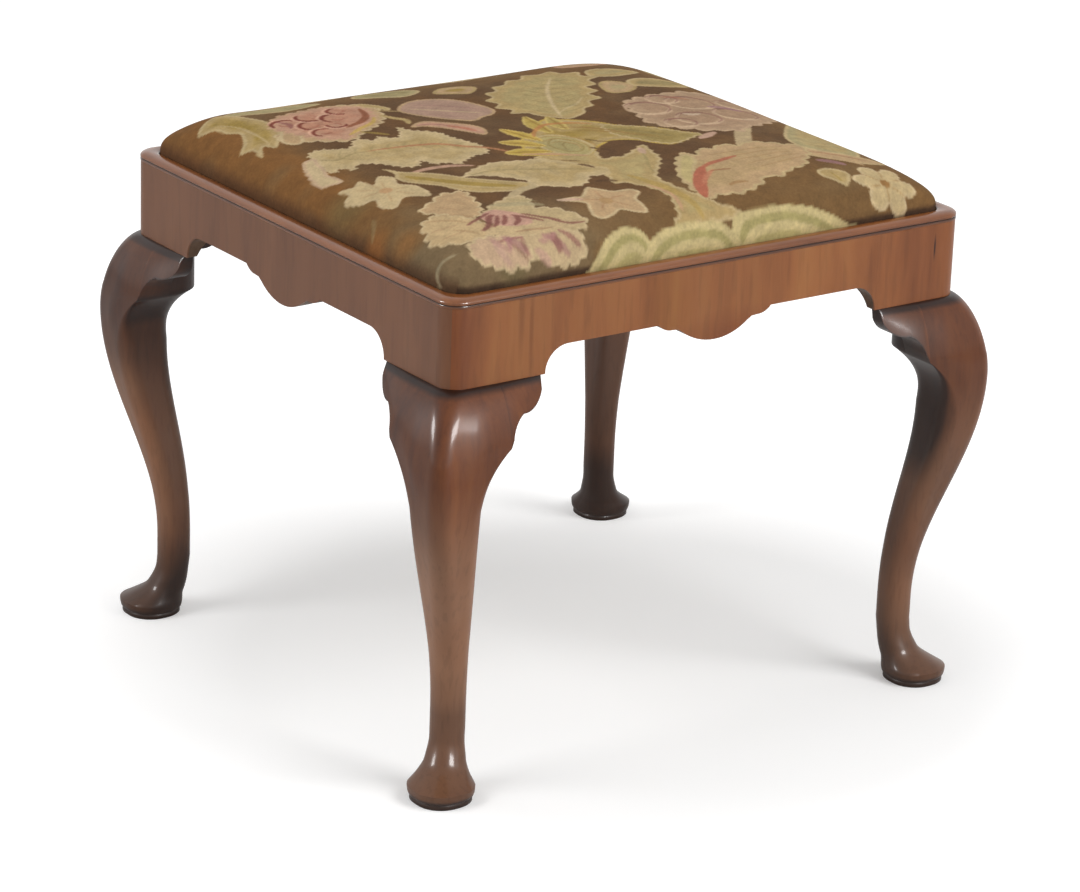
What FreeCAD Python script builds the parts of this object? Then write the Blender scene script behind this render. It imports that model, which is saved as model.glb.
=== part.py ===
import FreeCAD, Part
import os
from math import cos, pi, radians, sin, sqrt
from FreeCAD import Vector

# Upholstered stool with cabriole legs and a drop-in seat, in millimetres.
# The origin is on the floor under the middle of the stool, +X runs along the front rail
# to the right, +Y runs to the back and +Z is up.

# Driving dimensions of the rails
rail_span_x = 530.0        # over the veneered faces, left to right
rail_span_y = 502.0        # over the veneered faces, front to back
corner_radius = 18.0       # upright corners of the veneered faces
leg_height = 360.3         # floor to the underside of the rails beside the knees
rail_height = 67.2         # from there up to the top of the rails
rail_thick = 22.0
veneer_thick = 1.5

# Shaped lower edge of the rails
apron_rise = 22.7          # straight lower edge above the shoulders beside the knees
shoulder_reach = 94.0      # length of each low shoulder, from the rail's corner
shoulder_back = 10.0       # thickness left at the bottom of a shoulder, whose back is chamfered
cove_radius = 22.0
cove_lift = 0.7
pendant_rise = 2.0         # middle of the drop above the shoulders
pendant_half = 34.0        # half width of the round drop
pendant_height = 11.7
flick_width = 4.0
flick_height = 2.5
shelf_width = 6.0
shelf_height = 0.5
ogee_width = 14.0
ogee_sag = 1.9

# Posts, tenons and the rebate that the seat drops into
post_size = 46.0
tenon_length = 24.5
tenon_thick = 9.0
tenon_inset = 11.0         # from the rail's own outer face
tenon_low = 20.0           # above the shoulders
tenon_height = 28.0
joint_clearance = 0.1
recess_inset = 11.5        # recess wall, in from the veneered faces
recess_radius = 20.0
ledge_depth = 15.5         # ledge below the top of the rails

# Lip moulding on top of the rails
band_height = 2.5
band_proud = 0.3
bead_height = 5.8
bead_proud = 0.4
bead_nose = 1.6            # fullest point of the bead above its foot
bead_quirk = 1.0           # how far the bead falls back to its foot
bead_fall = 8.5            # how far it falls back to its top
bead_facets = 10
bead_inner_round = 1.5

# Cabriole legs, with insets measured in from the veneered faces
knee_out = 25.3            # how far the knee stands out
knee_drop = 70.3           # fullest point of the knee below the shoulders
knee_power = 1.8
knee_flatness = 0.6
knee_arris = 15.0
knee_back_arris = 29.0     # easing of the leg's inner corner behind the knee
side_arris = 2.0
ear_seat_height = 48.3     # flat side of the leg that an ear is glued to
knee_levels = (0, 0.2, 0.4, 0.58, 0.74, 0.87, 0.95, 1)   # where the swell is set out, up that side
waist_height = 261.5       # narrowest back of the leg
waist_inset = 25.8
waist_power = 2.7
shank_arris = 14.2
shank_levels = (0.15, 0.3, 0.45, 0.6, 0.75, 0.9)      # between the ankle and the waist
hollow_levels = (0.2, 0.4, 0.6, 0.75, 0.88)            # between the waist and the ears' seats
front_swing = 1.0
back_swing = 1.2
ankle_top = 77.0
ankle_bottom = 56.5
ankle_inset = 27.0
ankle_radius = 14.3
foot_inset = 12.2
foot_radius = 27.4
foot_thick = 13.0          # floor to the widest part of the foot
pad_height = 4.6
pad_radius = 25.2
pad_rim_share = 0.94
arris_facets = 5           # flats that each eased arris is worked to
round_share = 0.9         # arris of a round section, as a share of its radius

# Share of the way from the ankle to the foot: height share, inset share, radius share
foot_curve = ((0.70, 0.08, 0.01), (0.49, 0.21, 0.12), (0.30, 0.40, 0.27), (0.15, 0.70, 0.58))

# Ears glued beside each knee under the rails, along the rail from its corner
ear_reach = 89.5
ear_tip = 88.0
ear_tip_drop = 10.3
lobe_mid = (82.5, 18.6)    # points of the scroll: along the rail, down from the shoulder
lobe_end = (64.0, 24.3)
scoop_mid = (55.0, 31.8)
scoop_end = (50.5, 42.3)
ear_end_share = 0.4        # how much of the knee's swell is left at the tip
ear_power = 1.5
ear_steps = 5              # widths along the ear where its swell is set out
ear_back = 9.0            # back of each ear, in from the veneered face

# Corner blocks and their screws
block_reach = 100.0
block_nose = 5.5
block_height = 22.0
block_top_gap = 4.0        # below the seat ledge
screw_shank = 4.0
screw_head = 8.0
screw_head_height = 3.0
screw_length = 42.0
screw_sides = 10
screw_spread = 24.0        # each screw from the middle of its block, along the block's face

# Drop-in seat
seat_gap = 0.6             # around the covered seat
rest_gap = 0.3             # under the covered seat
cover_thick = 1.4
calico_thick = 0.5
hem_width = 26.0
seat_rail_width = 45.0
seat_rail_thick = 20.0
web_thick = 1.6
web_width = 50.0
web_count_x = 4            # bands that run along X
web_count_y = 4
web_tuck = 8.0             # band ends, in from the edge of the seat frame
web_slope = 24.0           # length of each rise or fall between crossings
hessian_thick = 0.8
hessian_inset = 6.0
pad_inset = 3.0
seat_rim_height = 2.2      # spring of the crown above the top of the lip
edge_roll = 26.0           # width of the rounded edge of the seat
edge_rise = 18.8
crown_rise = 20.1          # further rise to the middle
crown_power = 5.8
crown_steps = (0, 0.6, 2.4, 6.0, 11.0, 19.0, 30.0, 47.0, 72.0, 105.0, 150.0)   # contours, in from the rim
corner_growth = 50.0       # how much rounder the contours' corners grow
corner_growth_reach = 32.0
seat_corner_facets = 6
least_corner = 4.0
calico_low = 8.0           # lower edge of the undercover above the seat frame's underside

# Tacks
tack_head = 3.0
tack_head_height = 0.8
tack_shank = 1.0
tack_length = 9.0
cover_tack_inset = 21.0    # in from the edge of the covered seat
cover_tack_pitch = 58.0

# Accuracy
flat_enough = 0.001        # a wall this near to flat is one face

# Derived levels and half sizes
half_x = rail_span_x / 2
half_y = rail_span_y / 2
rail_top = leg_height + rail_height
ledge = rail_top - ledge_depth
lip_top = rail_top + band_height + bead_height
post_far = veneer_thick + post_size
rail_back = veneer_thick + rail_thick
knee_height = leg_height - knee_drop
seat_inset = recess_inset + seat_gap
frame_inset = seat_inset + cover_thick + calico_thick
hem_bottom = ledge + rest_gap
frame_bottom = hem_bottom + cover_thick
frame_top = frame_bottom + seat_rail_thick
web_top = frame_top + 2 * web_thick
hessian_top = web_top + hessian_thick
seat_rim = lip_top + seat_rim_height
tall = 2 * (lip_top + edge_rise + crown_rise)


def save(name, shape):
    """Write one named piece."""
    shape.exportStep("parts/" + name + ".step")


def box(x0, x1, y0, y1, z0, z1):
    """Box between two corners."""
    return Part.makeBox(x1 - x0, y1 - y0, z1 - z0, Vector(x0, y0, z0))


def arc(start, middle, end):
    """Edge through three points."""
    return Part.Arc(start, middle, end).toShape()


def line(start, end):
    """Straight edge."""
    return Part.LineSegment(start, end).toShape()


def bar(start, way, radius, length, sides):
    """Straight bar of a few sides."""
    turned = FreeCAD.Rotation(Vector(0, 0, 1), way)
    points = []
    for index in range(sides):
        angle = 2 * pi * index / sides
        points.append(start + turned.multVec(Vector(radius * cos(angle), radius * sin(angle), 0)))
    return polygon(points).extrude(way * length)


def polygon(points):
    """Face inside a closed run of straight edges."""
    return Part.Face(Part.makePolygon(points + [points[0]]))


def skin(rings):
    """Solid whose wall joins closed rings of points, one to the next, with flat ends."""
    faces = [polygon(rings[0]), polygon(rings[-1])]
    for lower, upper in zip(rings, rings[1:]):
        for index in range(len(lower)):
            a, b = lower[index - 1], lower[index]
            c, d = upper[index], upper[index - 1]
            normal = (b - a).cross(c - a).normalize()
            if abs(normal.dot(d - a)) < flat_enough:
                faces.append(polygon([a, b, c, d]))
            else:
                faces.append(polygon([a, b, c]))
                faces.append(polygon([a, c, d]))
    shell = Part.makeShell(faces)
    shell.sewShape()
    body = Part.makeSolid(shell)
    if body.Volume < 0:
        body.reverse()
    return body


def corner_ring(u, v, x, y, radii, steps, z):
    """Ring of points with four worked corners, from the lowest corner u, v to x, y."""
    points = []
    for index, (corner_u, corner_v) in enumerate(((u, v), (x, v), (x, y), (u, y))):
        radius = radii[index]
        middle_u = corner_u + (radius if corner_u == u else -radius)
        middle_v = corner_v + (radius if corner_v == v else -radius)
        for step in range(steps + 1):
            angle = radians(180 + 90 * index + 90 * step / steps)
            points.append(Vector(middle_u + radius * cos(angle), middle_v + radius * sin(angle), z))
    return points


def rounded_plate(inset, radius, z0, z1):
    """Upright plate with round corners, its sides set in from the veneered faces."""
    x = half_x - inset
    y = half_y - inset
    plate = box(-x, x, -y, y, z0, z1)
    upright = [e for e in plate.Edges if abs(e.Vertexes[0].Z - e.Vertexes[-1].Z) > (z1 - z0) / 2]
    return plate.makeFillet(radius, upright)


def side_wedge(side):
    """Everything that belongs to one side of the frame, cut off by mitres at the corners."""
    out = corner_radius + bead_proud
    deep = min(half_x, half_y) / 2
    if side in ("front", "back"):
        run, cross = half_x, half_y
    else:
        run, cross = half_y, half_x
    plan = [(-run - out, -cross - out), (run + out, -cross - out),
            (run - deep, -cross + deep), (-run + deep, -cross + deep)]
    sign = -1 if side in ("back", "right") else 1
    if side in ("front", "back"):
        points = [Vector(sign * u, sign * v, 0) for u, v in plan]
    else:
        points = [Vector(sign * v, -sign * u, 0) for u, v in plan]
    return polygon(points).extrude(Vector(0, 0, tall))


def swing(share):
    """Smooth S from 0 to 1."""
    return (1 - cos(pi * share)) / 2


def knee_swell(z):
    """How far the knee stands out of the rail face at a height above its fullest point."""
    share = min(1, (z - knee_height) / knee_drop)
    return knee_out * (1 - share ** knee_power) ** knee_flatness


def leg_section(z, near, far, outer, side, inner):
    """Four-sided section with eased arrises; near and far are insets from both rail faces."""
    radii = (outer, side, inner, side)
    return corner_ring(near - half_x, near - half_y, far - half_x, far - half_y, radii, arris_facets, z)


def round_section(z, inset, radius):
    """Round section of the ankle and foot, with as many points as the others."""
    arris = radius * round_share
    return leg_section(z, inset - radius, inset + radius, arris, arris, arris)


def leg_sections():
    """Sections of one leg, from the foot up to the rail."""
    ear_seat = leg_height - ear_seat_height
    sections = [round_section(pad_height, foot_inset, foot_radius * pad_rim_share)]
    sections.append(round_section(foot_thick, foot_inset, foot_radius))
    for height, inset, radius in reversed(foot_curve):
        sections.append(round_section(foot_thick + (ankle_bottom - foot_thick) * height,
                                      foot_inset + (ankle_inset - foot_inset) * (1 - inset),
                                      ankle_radius + (foot_radius - ankle_radius) * radius))
    sections.append(round_section(ankle_bottom, ankle_inset, ankle_radius))
    sections.append(round_section(ankle_top, ankle_inset, ankle_radius))

    ankle_near = ankle_inset - ankle_radius
    ankle_far = ankle_inset + ankle_radius
    for share in shank_levels:
        z = ankle_top + (waist_height - ankle_top) * share
        front = swing(((z - ankle_top) / (knee_height - ankle_top)) ** front_swing)
        back = swing(share ** back_swing)
        near = ankle_near - (ankle_near + knee_out) * front
        far = ankle_far - (ankle_far - waist_inset) * back
        arris = min(shank_arris, round_share * (far - near) / 2)
        side = min(arris, shank_arris * (ear_seat - z) / (ear_seat - waist_height))
        sections.append(leg_section(z, near, far, arris, side, arris))

    for share in hollow_levels:
        z = waist_height + (ear_seat - waist_height) * share
        far = waist_inset + (post_far - waist_inset) * share ** waist_power
        front = swing(min(1, ((z - ankle_top) / (knee_height - ankle_top)) ** front_swing))
        near = ankle_near - (ankle_near + knee_out) * front
        if z > knee_height:
            near = -knee_swell(z)
        side = side_arris + (shank_arris - side_arris) * (1 - share)
        inner = shank_arris + (knee_back_arris - shank_arris) * share
        sections.append(leg_section(z, near, far, shank_arris, side, inner))

    for share in knee_levels:
        z = ear_seat + ear_seat_height * share
        outer = knee_arris + (corner_radius - knee_arris) * share
        sections.append(leg_section(z, -knee_swell(z), post_far, outer, side_arris, knee_back_arris))
    return sections


def make_leg():
    """Leg, foot and post of the front left corner, sawn from one piece."""
    left = -half_x
    front = -half_y
    body = skin(leg_sections())
    reach = knee_out + foot_radius
    blank = box(left - reach, left + post_far, front - reach, front + post_far, 0, leg_height)
    body = body.common(blank)
    pad = Part.makeCylinder(pad_radius, pad_height, Vector(left + foot_inset, front + foot_inset, 0))
    post = box(left + veneer_thick, left + post_far, front + veneer_thick, front + post_far,
               leg_height, rail_top)
    post = post.common(rounded_plate(veneer_thick, corner_radius - veneer_thick, leg_height, rail_top))
    post = post.cut(rounded_plate(recess_inset, recess_radius, ledge, tall))
    post = post.cut(tenon(post_far, joint_clearance, False))
    post = post.cut(tenon(post_far, joint_clearance, True))
    return body.fuse([pad, post]).removeSplitter()


def tenon(start, slack, along_y):
    """Tenon into the front left post, or with slack its mortise."""
    end = start - tenon_length - slack
    inner = veneer_thick + tenon_inset - slack
    outer = veneer_thick + tenon_inset + tenon_thick + slack
    z0 = leg_height + tenon_low - slack
    z1 = leg_height + tenon_low + tenon_height + slack
    if along_y:
        return box(-half_x + inner, -half_x + outer, -half_y + end, -half_y + start, z0, z1)
    return box(-half_x + end, -half_x + start, -half_y + inner, -half_y + outer, z0, z1)


def ear_point(along, inset, z, on_side):
    """Point beside the front left corner, on the front rail or on the left rail."""
    if on_side:
        return Vector(-half_x + inset, -half_y + along, z)
    return Vector(-half_x + along, -half_y + inset, z)


def make_ear(on_side):
    """Scrolled ear that carries the knee's swell out under the rail."""
    low = leg_height - ear_seat_height
    blanks = []
    for step in range(ear_steps + 1):
        along = post_far + (ear_reach - post_far) * step / ear_steps
        share = 1 - (1 - ear_end_share) * (step / ear_steps) ** ear_power
        section = [ear_point(along, ear_back, low, on_side)]
        for level in knee_levels:
            z = low + ear_seat_height * level
            section.append(ear_point(along, -share * knee_swell(z), z, on_side))
        section.append(ear_point(along, ear_back, leg_height, on_side))
        blanks.append(section)
    blank = skin(blanks)

    def at(along, drop):
        return ear_point(along, -2 * knee_out, leg_height - drop, on_side)

    outline = Part.Wire([
        line(at(post_far, 0), at(ear_reach, 0)),
        line(at(ear_reach, 0), at(ear_tip, ear_tip_drop)),
        arc(at(ear_tip, ear_tip_drop), at(*lobe_mid), at(*lobe_end)),
        arc(at(*lobe_end), at(*scoop_mid), at(*scoop_end)),
        line(at(*scoop_end), at(post_far, ear_seat_height)),
        line(at(post_far, ear_seat_height), at(post_far, 0)),
    ])
    depth = 4 * knee_out + ear_back
    through = Vector(depth, 0, 0) if on_side else Vector(0, depth, 0)
    return blank.common(Part.Face(outline).extrude(through))


def apron_opening(half_run, along_y):
    """Everything below the shaped lower edge between the two shoulders of a pair of rails."""
    reach = 2 * max(half_x, half_y)

    def at(u, v):
        return Vector(-reach, u, leg_height + v) if along_y else Vector(u, -reach, leg_height + v)

    end = half_run - shoulder_reach
    bend = cove_radius * (1 - sqrt(0.5))
    flat_end = end - cove_radius
    drop_end = pendant_half
    flick_end = drop_end + flick_width
    shelf_end = flick_end + shelf_width
    ogee_end = shelf_end + ogee_width
    drop_top = pendant_rise + pendant_height
    flick_top = drop_top + flick_height
    shelf_top = flick_top + shelf_height
    cove_start = apron_rise - cove_radius - cove_lift

    edges = [line(at(-end, -leg_height / 2), at(end, -leg_height / 2))]
    for side in (1, -1):
        half = [
            line(at(side * end, -leg_height / 2), at(side * end, cove_start + cove_lift)),
            arc(at(side * end, cove_start + cove_lift),
                at(side * (end - bend), apron_rise - bend),
                at(side * flat_end, apron_rise)),
            line(at(side * flat_end, apron_rise), at(side * ogee_end, apron_rise)),
            arc(at(side * ogee_end, apron_rise),
                at(side * (ogee_end + shelf_end) / 2, (apron_rise + shelf_top) / 2 - ogee_sag),
                at(side * shelf_end, shelf_top)),
            line(at(side * shelf_end, shelf_top), at(side * flick_end, flick_top)),
            line(at(side * flick_end, flick_top), at(side * drop_end, drop_top)),
        ]
        edges += half
    edges.append(arc(at(drop_end, drop_top), at(0, pendant_rise), at(-drop_end, drop_top)))
    outline = Part.Wire(Part.__sortEdges__(edges))
    through = Vector(2 * reach, 0, 0) if along_y else Vector(0, 2 * reach, 0)
    return Part.Face(outline).extrude(through)


def shoulder_chamfer(along_y):
    """Wedge cut off the back of a rail's shoulders."""
    reach = 2 * max(half_x, half_y)
    edge = -half_x if along_y else -half_y
    points = []
    for inset, rise in ((shoulder_back, 0), (2 * rail_back, 0), (2 * rail_back, apron_rise),
                        (rail_back, apron_rise)):
        across = edge + inset
        z = leg_height + rise
        points.append(Vector(across, -reach, z) if along_y else Vector(-reach, across, z))
    return polygon(points).extrude(Vector(0, 2 * reach, 0) if along_y else Vector(2 * reach, 0, 0))


def make_rail(along_y):
    """Front rail, or left rail, with a tenon at each end, its rebate and its shaped edge."""
    if along_y:
        run = half_y - post_far
        body = box(-half_x + veneer_thick, -half_x + rail_back, -run, run, leg_height, rail_top)
    else:
        run = half_x - post_far
        body = box(-run, run, -half_y + veneer_thick, -half_y + rail_back, leg_height, rail_top)
    near_tenon = tenon(post_far, 0, along_y)
    normal = Vector(0, 1, 0) if along_y else Vector(1, 0, 0)
    body = body.fuse([near_tenon, near_tenon.mirror(Vector(0, 0, 0), normal)])
    body = body.cut(rounded_plate(recess_inset, recess_radius, ledge, tall))
    body = body.cut(apron_opening(half_y if along_y else half_x, along_y))
    body = body.cut(shoulder_chamfer(along_y))
    return body.removeSplitter()


def make_veneer_ring():
    """Cross-banded veneer that wraps the rails and posts, before it is parted at the mitres."""
    ring = rounded_plate(0, corner_radius, leg_height, rail_top)
    ring = ring.cut(rounded_plate(veneer_thick, corner_radius - veneer_thick, leg_height, rail_top))
    ring = ring.cut(apron_opening(half_x, False))
    return ring.cut(apron_opening(half_y, True))


def bead_point(angle):
    """Inset and height of the bead's outer face, from its foot at -90 degrees to its top at 90."""
    foot = rail_top + band_height
    if angle < 0:
        return bead_quirk * (1 - cos(angle)) - bead_proud, foot + bead_nose * (1 + sin(angle))
    rise = bead_height - bead_nose
    return bead_fall * (1 - cos(angle)) - bead_proud, foot + bead_nose + rise * sin(angle)


def make_lip_ring():
    """Bead over a small square band, on top of the rails, before it is parted at the mitres."""
    outer = [bead_point(pi * step / bead_facets - pi / 2) for step in range(bead_facets + 1)]
    bead = skin([lip_ring_at(inset, z) for inset, z in outer])
    band = polygon(lip_ring_at(-band_proud, rail_top)).extrude(Vector(0, 0, band_height))
    ring = bead.fuse(band)
    hole = [seat_hole(recess_inset, rail_top), seat_hole(recess_inset, lip_top - bead_inner_round),
            seat_hole(recess_inset - bead_inner_round, lip_top),
            seat_hole(recess_inset - bead_inner_round, tall)]
    return ring.cut(skin(hole)).removeSplitter()


def lip_ring_at(inset, z):
    """Outline of the lip moulding at one level."""
    x = half_x - inset
    y = half_y - inset
    return corner_ring(-x, -y, x, y, (corner_radius - inset,) * 4, seat_corner_facets, z)


def seat_hole(inset, z):
    """Outline of the recess for the seat at one level."""
    x = half_x - inset
    y = half_y - inset
    return corner_ring(-x, -y, x, y, (recess_radius + recess_inset - inset,) * 4, seat_corner_facets, z)


def block_levels():
    """Underside and top of a corner block."""
    top = ledge - block_top_gap
    return top - block_height, top


def make_block():
    """Corner block of the front left corner, notched around its post."""
    low, top = block_levels()
    plan = [(rail_back, post_far), (post_far, post_far), (post_far, rail_back),
            (block_reach, rail_back), (block_reach, rail_back + block_nose),
            (rail_back + block_nose, block_reach), (rail_back, block_reach)]
    block = polygon([Vector(-half_x + u, -half_y + v, low) for u, v in plan])
    return block.extrude(Vector(0, 0, top - low))


def corner_screws():
    """Two countersunk screws through the front left block, one into each rail."""
    low, top = block_levels()
    face = (block_reach + rail_back + block_nose) / 2
    inward = Vector(-1, -1, 0).normalize()
    placed = []
    for side in (1, -1):
        shift = side * screw_spread * sqrt(0.5)
        start = Vector(-half_x + face + shift, -half_y + face - shift, (low + top) / 2)
        head = bar(start, inward, screw_head / 2, screw_head_height, screw_sides)
        placed.append(head.fuse(bar(start, inward, screw_shank / 2, screw_length, screw_sides)))
    return placed


def make_seat_rail(along_y):
    """Front rail, or left rail, of the seat frame, halved at the corners."""
    x = half_x - frame_inset
    y = half_y - frame_inset
    half_way = frame_bottom + seat_rail_thick / 2
    if along_y:
        body = box(-x, -x + seat_rail_width, -y, y, frame_bottom, frame_top)
        for side in (-1, 1):
            end = box(-x, -x + seat_rail_width, min(side * y, side * (y - seat_rail_width)),
                      max(side * y, side * (y - seat_rail_width)), frame_bottom, half_way)
            body = body.cut(end)
    else:
        body = box(-x, x, -y, -y + seat_rail_width, frame_bottom, frame_top)
        for side in (-1, 1):
            end = box(min(side * x, side * (x - seat_rail_width)),
                      max(side * x, side * (x - seat_rail_width)),
                      -y, -y + seat_rail_width, half_way, frame_top)
            body = body.cut(end)
    return body.common(seat_plate(frame_inset, frame_bottom, frame_top))


def seat_corner(inset):
    """Corner radius of a layer of the seat, so that the layers keep an even thickness."""
    return max(least_corner, recess_radius - (inset - recess_inset))


def band_places(count, half_opening):
    """Middles of the bands across the seat frame's opening."""
    pitch = 2 * half_opening / count
    return [-half_opening + pitch * (index + 0.5) for index in range(count)]


def make_band(across, crossings, half_length, first_over, along_y):
    """One band of webbing that goes over and under the bands that cross it."""
    def at(u, v):
        z = frame_top + v
        return Vector(across - web_width / 2, u, z) if along_y else Vector(u, across - web_width / 2, z)

    lower = [(-half_length, 0)]
    over = first_over
    for middle in crossings:
        if over:
            lower += [(middle - web_width / 2 - web_slope, 0), (middle - web_width / 2, web_thick),
                      (middle + web_width / 2, web_thick), (middle + web_width / 2 + web_slope, 0)]
        over = not over
    lower.append((half_length, 0))
    upper = [(u, v + web_thick) for u, v in reversed(lower)]
    side = polygon([at(u, v) for u, v in lower + upper])
    across_way = Vector(web_width, 0, 0) if along_y else Vector(0, web_width, 0)
    return side.extrude(across_way)


def make_webbing():
    """Bands along X and bands along Y, woven through each other over the seat frame."""
    places_y = band_places(web_count_x, half_y - frame_inset - seat_rail_width)
    places_x = band_places(web_count_y, half_x - frame_inset - seat_rail_width)
    length_x = half_x - frame_inset - web_tuck
    length_y = half_y - frame_inset - web_tuck
    along_x = []
    for index, place in enumerate(places_y):
        along_x.append(make_band(place, places_x, length_x, index % 2 == 0, False))
    along_y = []
    for index, place in enumerate(places_x):
        along_y.append(make_band(place, places_y, length_y, index % 2 == 1, True))
    return along_x, along_y


def make_tack(x, y):
    """Cut tack driven up through the hem, with a worked head and a square shank."""
    head = bar(Vector(x, y, hem_bottom), Vector(0, 0, -1), tack_head, tack_head_height, 6)
    return head.fuse(bar(Vector(x, y, hem_bottom), Vector(0, 0, 1), tack_shank, tack_length, 4))


def make_cover_tacks():
    """Tacks that hold the turned-under edge of the cover, clear of the posts."""
    tacks = []
    clear = post_far - seat_inset + 2 * tack_head
    x = half_x - seat_inset
    y = half_y - seat_inset
    for run, cross, along_y in ((x, y, False), (y, x, True)):
        count = int(2 * (run - clear) // cover_tack_pitch) + 1
        for index in range(count):
            u = (index - (count - 1) / 2) * cover_tack_pitch
            for side in (-1, 1):
                v = side * (cross - cover_tack_inset)
                tacks.append(make_tack(v, u) if along_y else make_tack(u, v))
    return tacks


def roll(distance):
    """Quarter round of the seat's edge, from 0 at the rim to 1 where the edge has rolled over."""
    left = max(0, 1 - distance / edge_roll)
    return sqrt(1 - left ** 2)


def seat_ring(inset, radius, z):
    """Outline of the seat at one level, its corners worked round."""
    x = half_x - inset
    y = half_y - inset
    return corner_ring(-x, -y, x, y, (radius,) * 4, seat_corner_facets, z)


def seat_plate(inset, low, top):
    """Upright plate with the outline of one layer of the seat."""
    return polygon(seat_ring(inset, seat_corner(inset), low)).extrude(Vector(0, 0, top - low))


def crown(inset, low):
    """Crowned solid of one layer of the seat, from a level up."""
    drop = inset - seat_inset
    x = half_x - inset
    corner = seat_corner(inset)
    rings = [seat_ring(inset, corner, low)]
    for distance in crown_steps:
        across = (x - distance) / x
        rise = edge_rise * roll(distance) + (crown_rise - drop) * (1 - across ** crown_power)
        radius = corner + corner_growth * swing(min(1, distance / corner_growth_reach))
        rings.append(seat_ring(inset + distance, radius, seat_rim + rise))
    return skin(rings)


def make_cover():
    """Needlework cover: crown, sides, and the edge turned under the seat frame."""
    cover = crown(seat_inset, hem_bottom)
    cover = cover.cut(crown(seat_inset + cover_thick, frame_bottom))
    opening = seat_inset + hem_width
    return cover.cut(seat_plate(opening, hem_bottom - rest_gap, frame_bottom + rest_gap))


def make_calico():
    """Undercover between the stuffing and the needlework."""
    inset = seat_inset + cover_thick
    low = frame_bottom + calico_low
    return crown(inset, low).cut(crown(frame_inset, low))


def make_stuffing():
    """Hair stuffing between the hessian and the undercover, drawn in at its sides."""
    return crown(frame_inset, frame_bottom).common(seat_plate(frame_inset + pad_inset, hessian_top, tall))


def to_corners(shape):
    """The same piece at all four corners, from the one at the front left."""
    centre = Vector(0, 0, 0)
    right = shape.mirror(centre, Vector(1, 0, 0))
    return {"front_left": shape, "front_right": right,
            "back_left": shape.mirror(centre, Vector(0, 1, 0)),
            "back_right": right.mirror(centre, Vector(0, 1, 0))}


def to_sides(front, left):
    """The same piece on opposite sides, from the front one and the left one."""
    centre = Vector(0, 0, 0)
    return {"front": front, "back": front.mirror(centre, Vector(0, 1, 0)),
            "left": left, "right": left.mirror(centre, Vector(1, 0, 0))}


# Legs, ears, blocks and screws at the corners
for corner, leg in to_corners(make_leg()).items():
    save(corner + "_leg", leg)
for corner, ear in to_corners(make_ear(False)).items():
    save(corner + "_rail_ear", ear)
for corner, ear in to_corners(make_ear(True)).items():
    save(corner + "_side_ear", ear)
for corner, block in to_corners(make_block()).items():
    save(corner + "_corner_block", block)
screws = []
for screw in corner_screws():
    screws += to_corners(screw).values()
save("block_screws", Part.Compound(screws))

# Rails, veneers and lip mouldings on the four sides
for side, rail in to_sides(make_rail(False), make_rail(True)).items():
    save(side + "_rail", rail)
veneer_ring = make_veneer_ring()
lip_ring = make_lip_ring()
for side in ("front", "back", "left", "right"):
    save(side + "_veneer", veneer_ring.common(side_wedge(side)))
    save(side + "_lip", lip_ring.common(side_wedge(side)))

# Drop-in seat
for side, rail in to_sides(make_seat_rail(False), make_seat_rail(True)).items():
    save("seat_" + side + "_rail", rail)
bands_along_x, bands_along_y = make_webbing()
save("webbing_across", Part.Compound(bands_along_x))
save("webbing_front_to_back", Part.Compound(bands_along_y))
save("hessian", seat_plate(frame_inset + hessian_inset, web_top, hessian_top))
save("stuffing", make_stuffing())
save("undercover", make_calico())
save("needlework_cover", make_cover())
save("cover_tacks", Part.Compound(make_cover_tacks()))
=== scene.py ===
import bpy
import numpy as np
from math import atan2, cos, hypot, pi, radians, sin, sqrt
from mathutils import Matrix, Vector


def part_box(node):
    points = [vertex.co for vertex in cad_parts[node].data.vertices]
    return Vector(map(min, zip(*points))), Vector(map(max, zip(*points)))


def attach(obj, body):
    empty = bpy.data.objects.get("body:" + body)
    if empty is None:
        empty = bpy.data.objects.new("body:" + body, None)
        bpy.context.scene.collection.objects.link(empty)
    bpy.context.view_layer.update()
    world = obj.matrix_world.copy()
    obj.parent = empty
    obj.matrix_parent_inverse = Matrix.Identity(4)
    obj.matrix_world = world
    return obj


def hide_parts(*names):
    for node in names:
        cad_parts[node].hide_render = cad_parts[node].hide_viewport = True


# Upholstered stool with cabriole legs. Lengths are in millimetres until add_mesh makes them metres.
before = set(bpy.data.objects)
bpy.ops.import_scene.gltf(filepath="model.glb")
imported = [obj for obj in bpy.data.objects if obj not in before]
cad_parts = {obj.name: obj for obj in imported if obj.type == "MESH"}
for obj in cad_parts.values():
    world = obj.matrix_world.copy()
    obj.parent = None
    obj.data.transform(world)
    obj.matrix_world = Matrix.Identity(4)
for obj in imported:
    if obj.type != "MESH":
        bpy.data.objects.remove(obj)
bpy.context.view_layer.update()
MM = 0.001


def edge(node, side, axis):
    """One side of a node's box, in millimetres: side 0 is the lowest and 1 the highest."""
    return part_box(node)[side][axis] / MM


# Sizes that come from the frame
half_x = edge("right_veneer", 1, 0)
half_y = edge("back_veneer", 1, 1)
leg_height = edge("front_veneer", 0, 2)
rail_top = edge("front_veneer", 1, 2)
lip_top = edge("front_lip", 1, 2)
frame_top = edge("seat_front_rail", 1, 2)
frame_bottom = edge("seat_front_rail", 0, 2)
seat_x = edge("needlework_cover", 1, 0)
seat_y = edge("needlework_cover", 1, 1)
hem_bottom = edge("needlework_cover", 0, 2)
hessian_low = edge("hessian", 0, 2)
hessian_top = edge("hessian", 1, 2)
frame_half_x = edge("seat_front_rail", 1, 0)
frame_half_y = edge("seat_right_rail", 1, 1)

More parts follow.
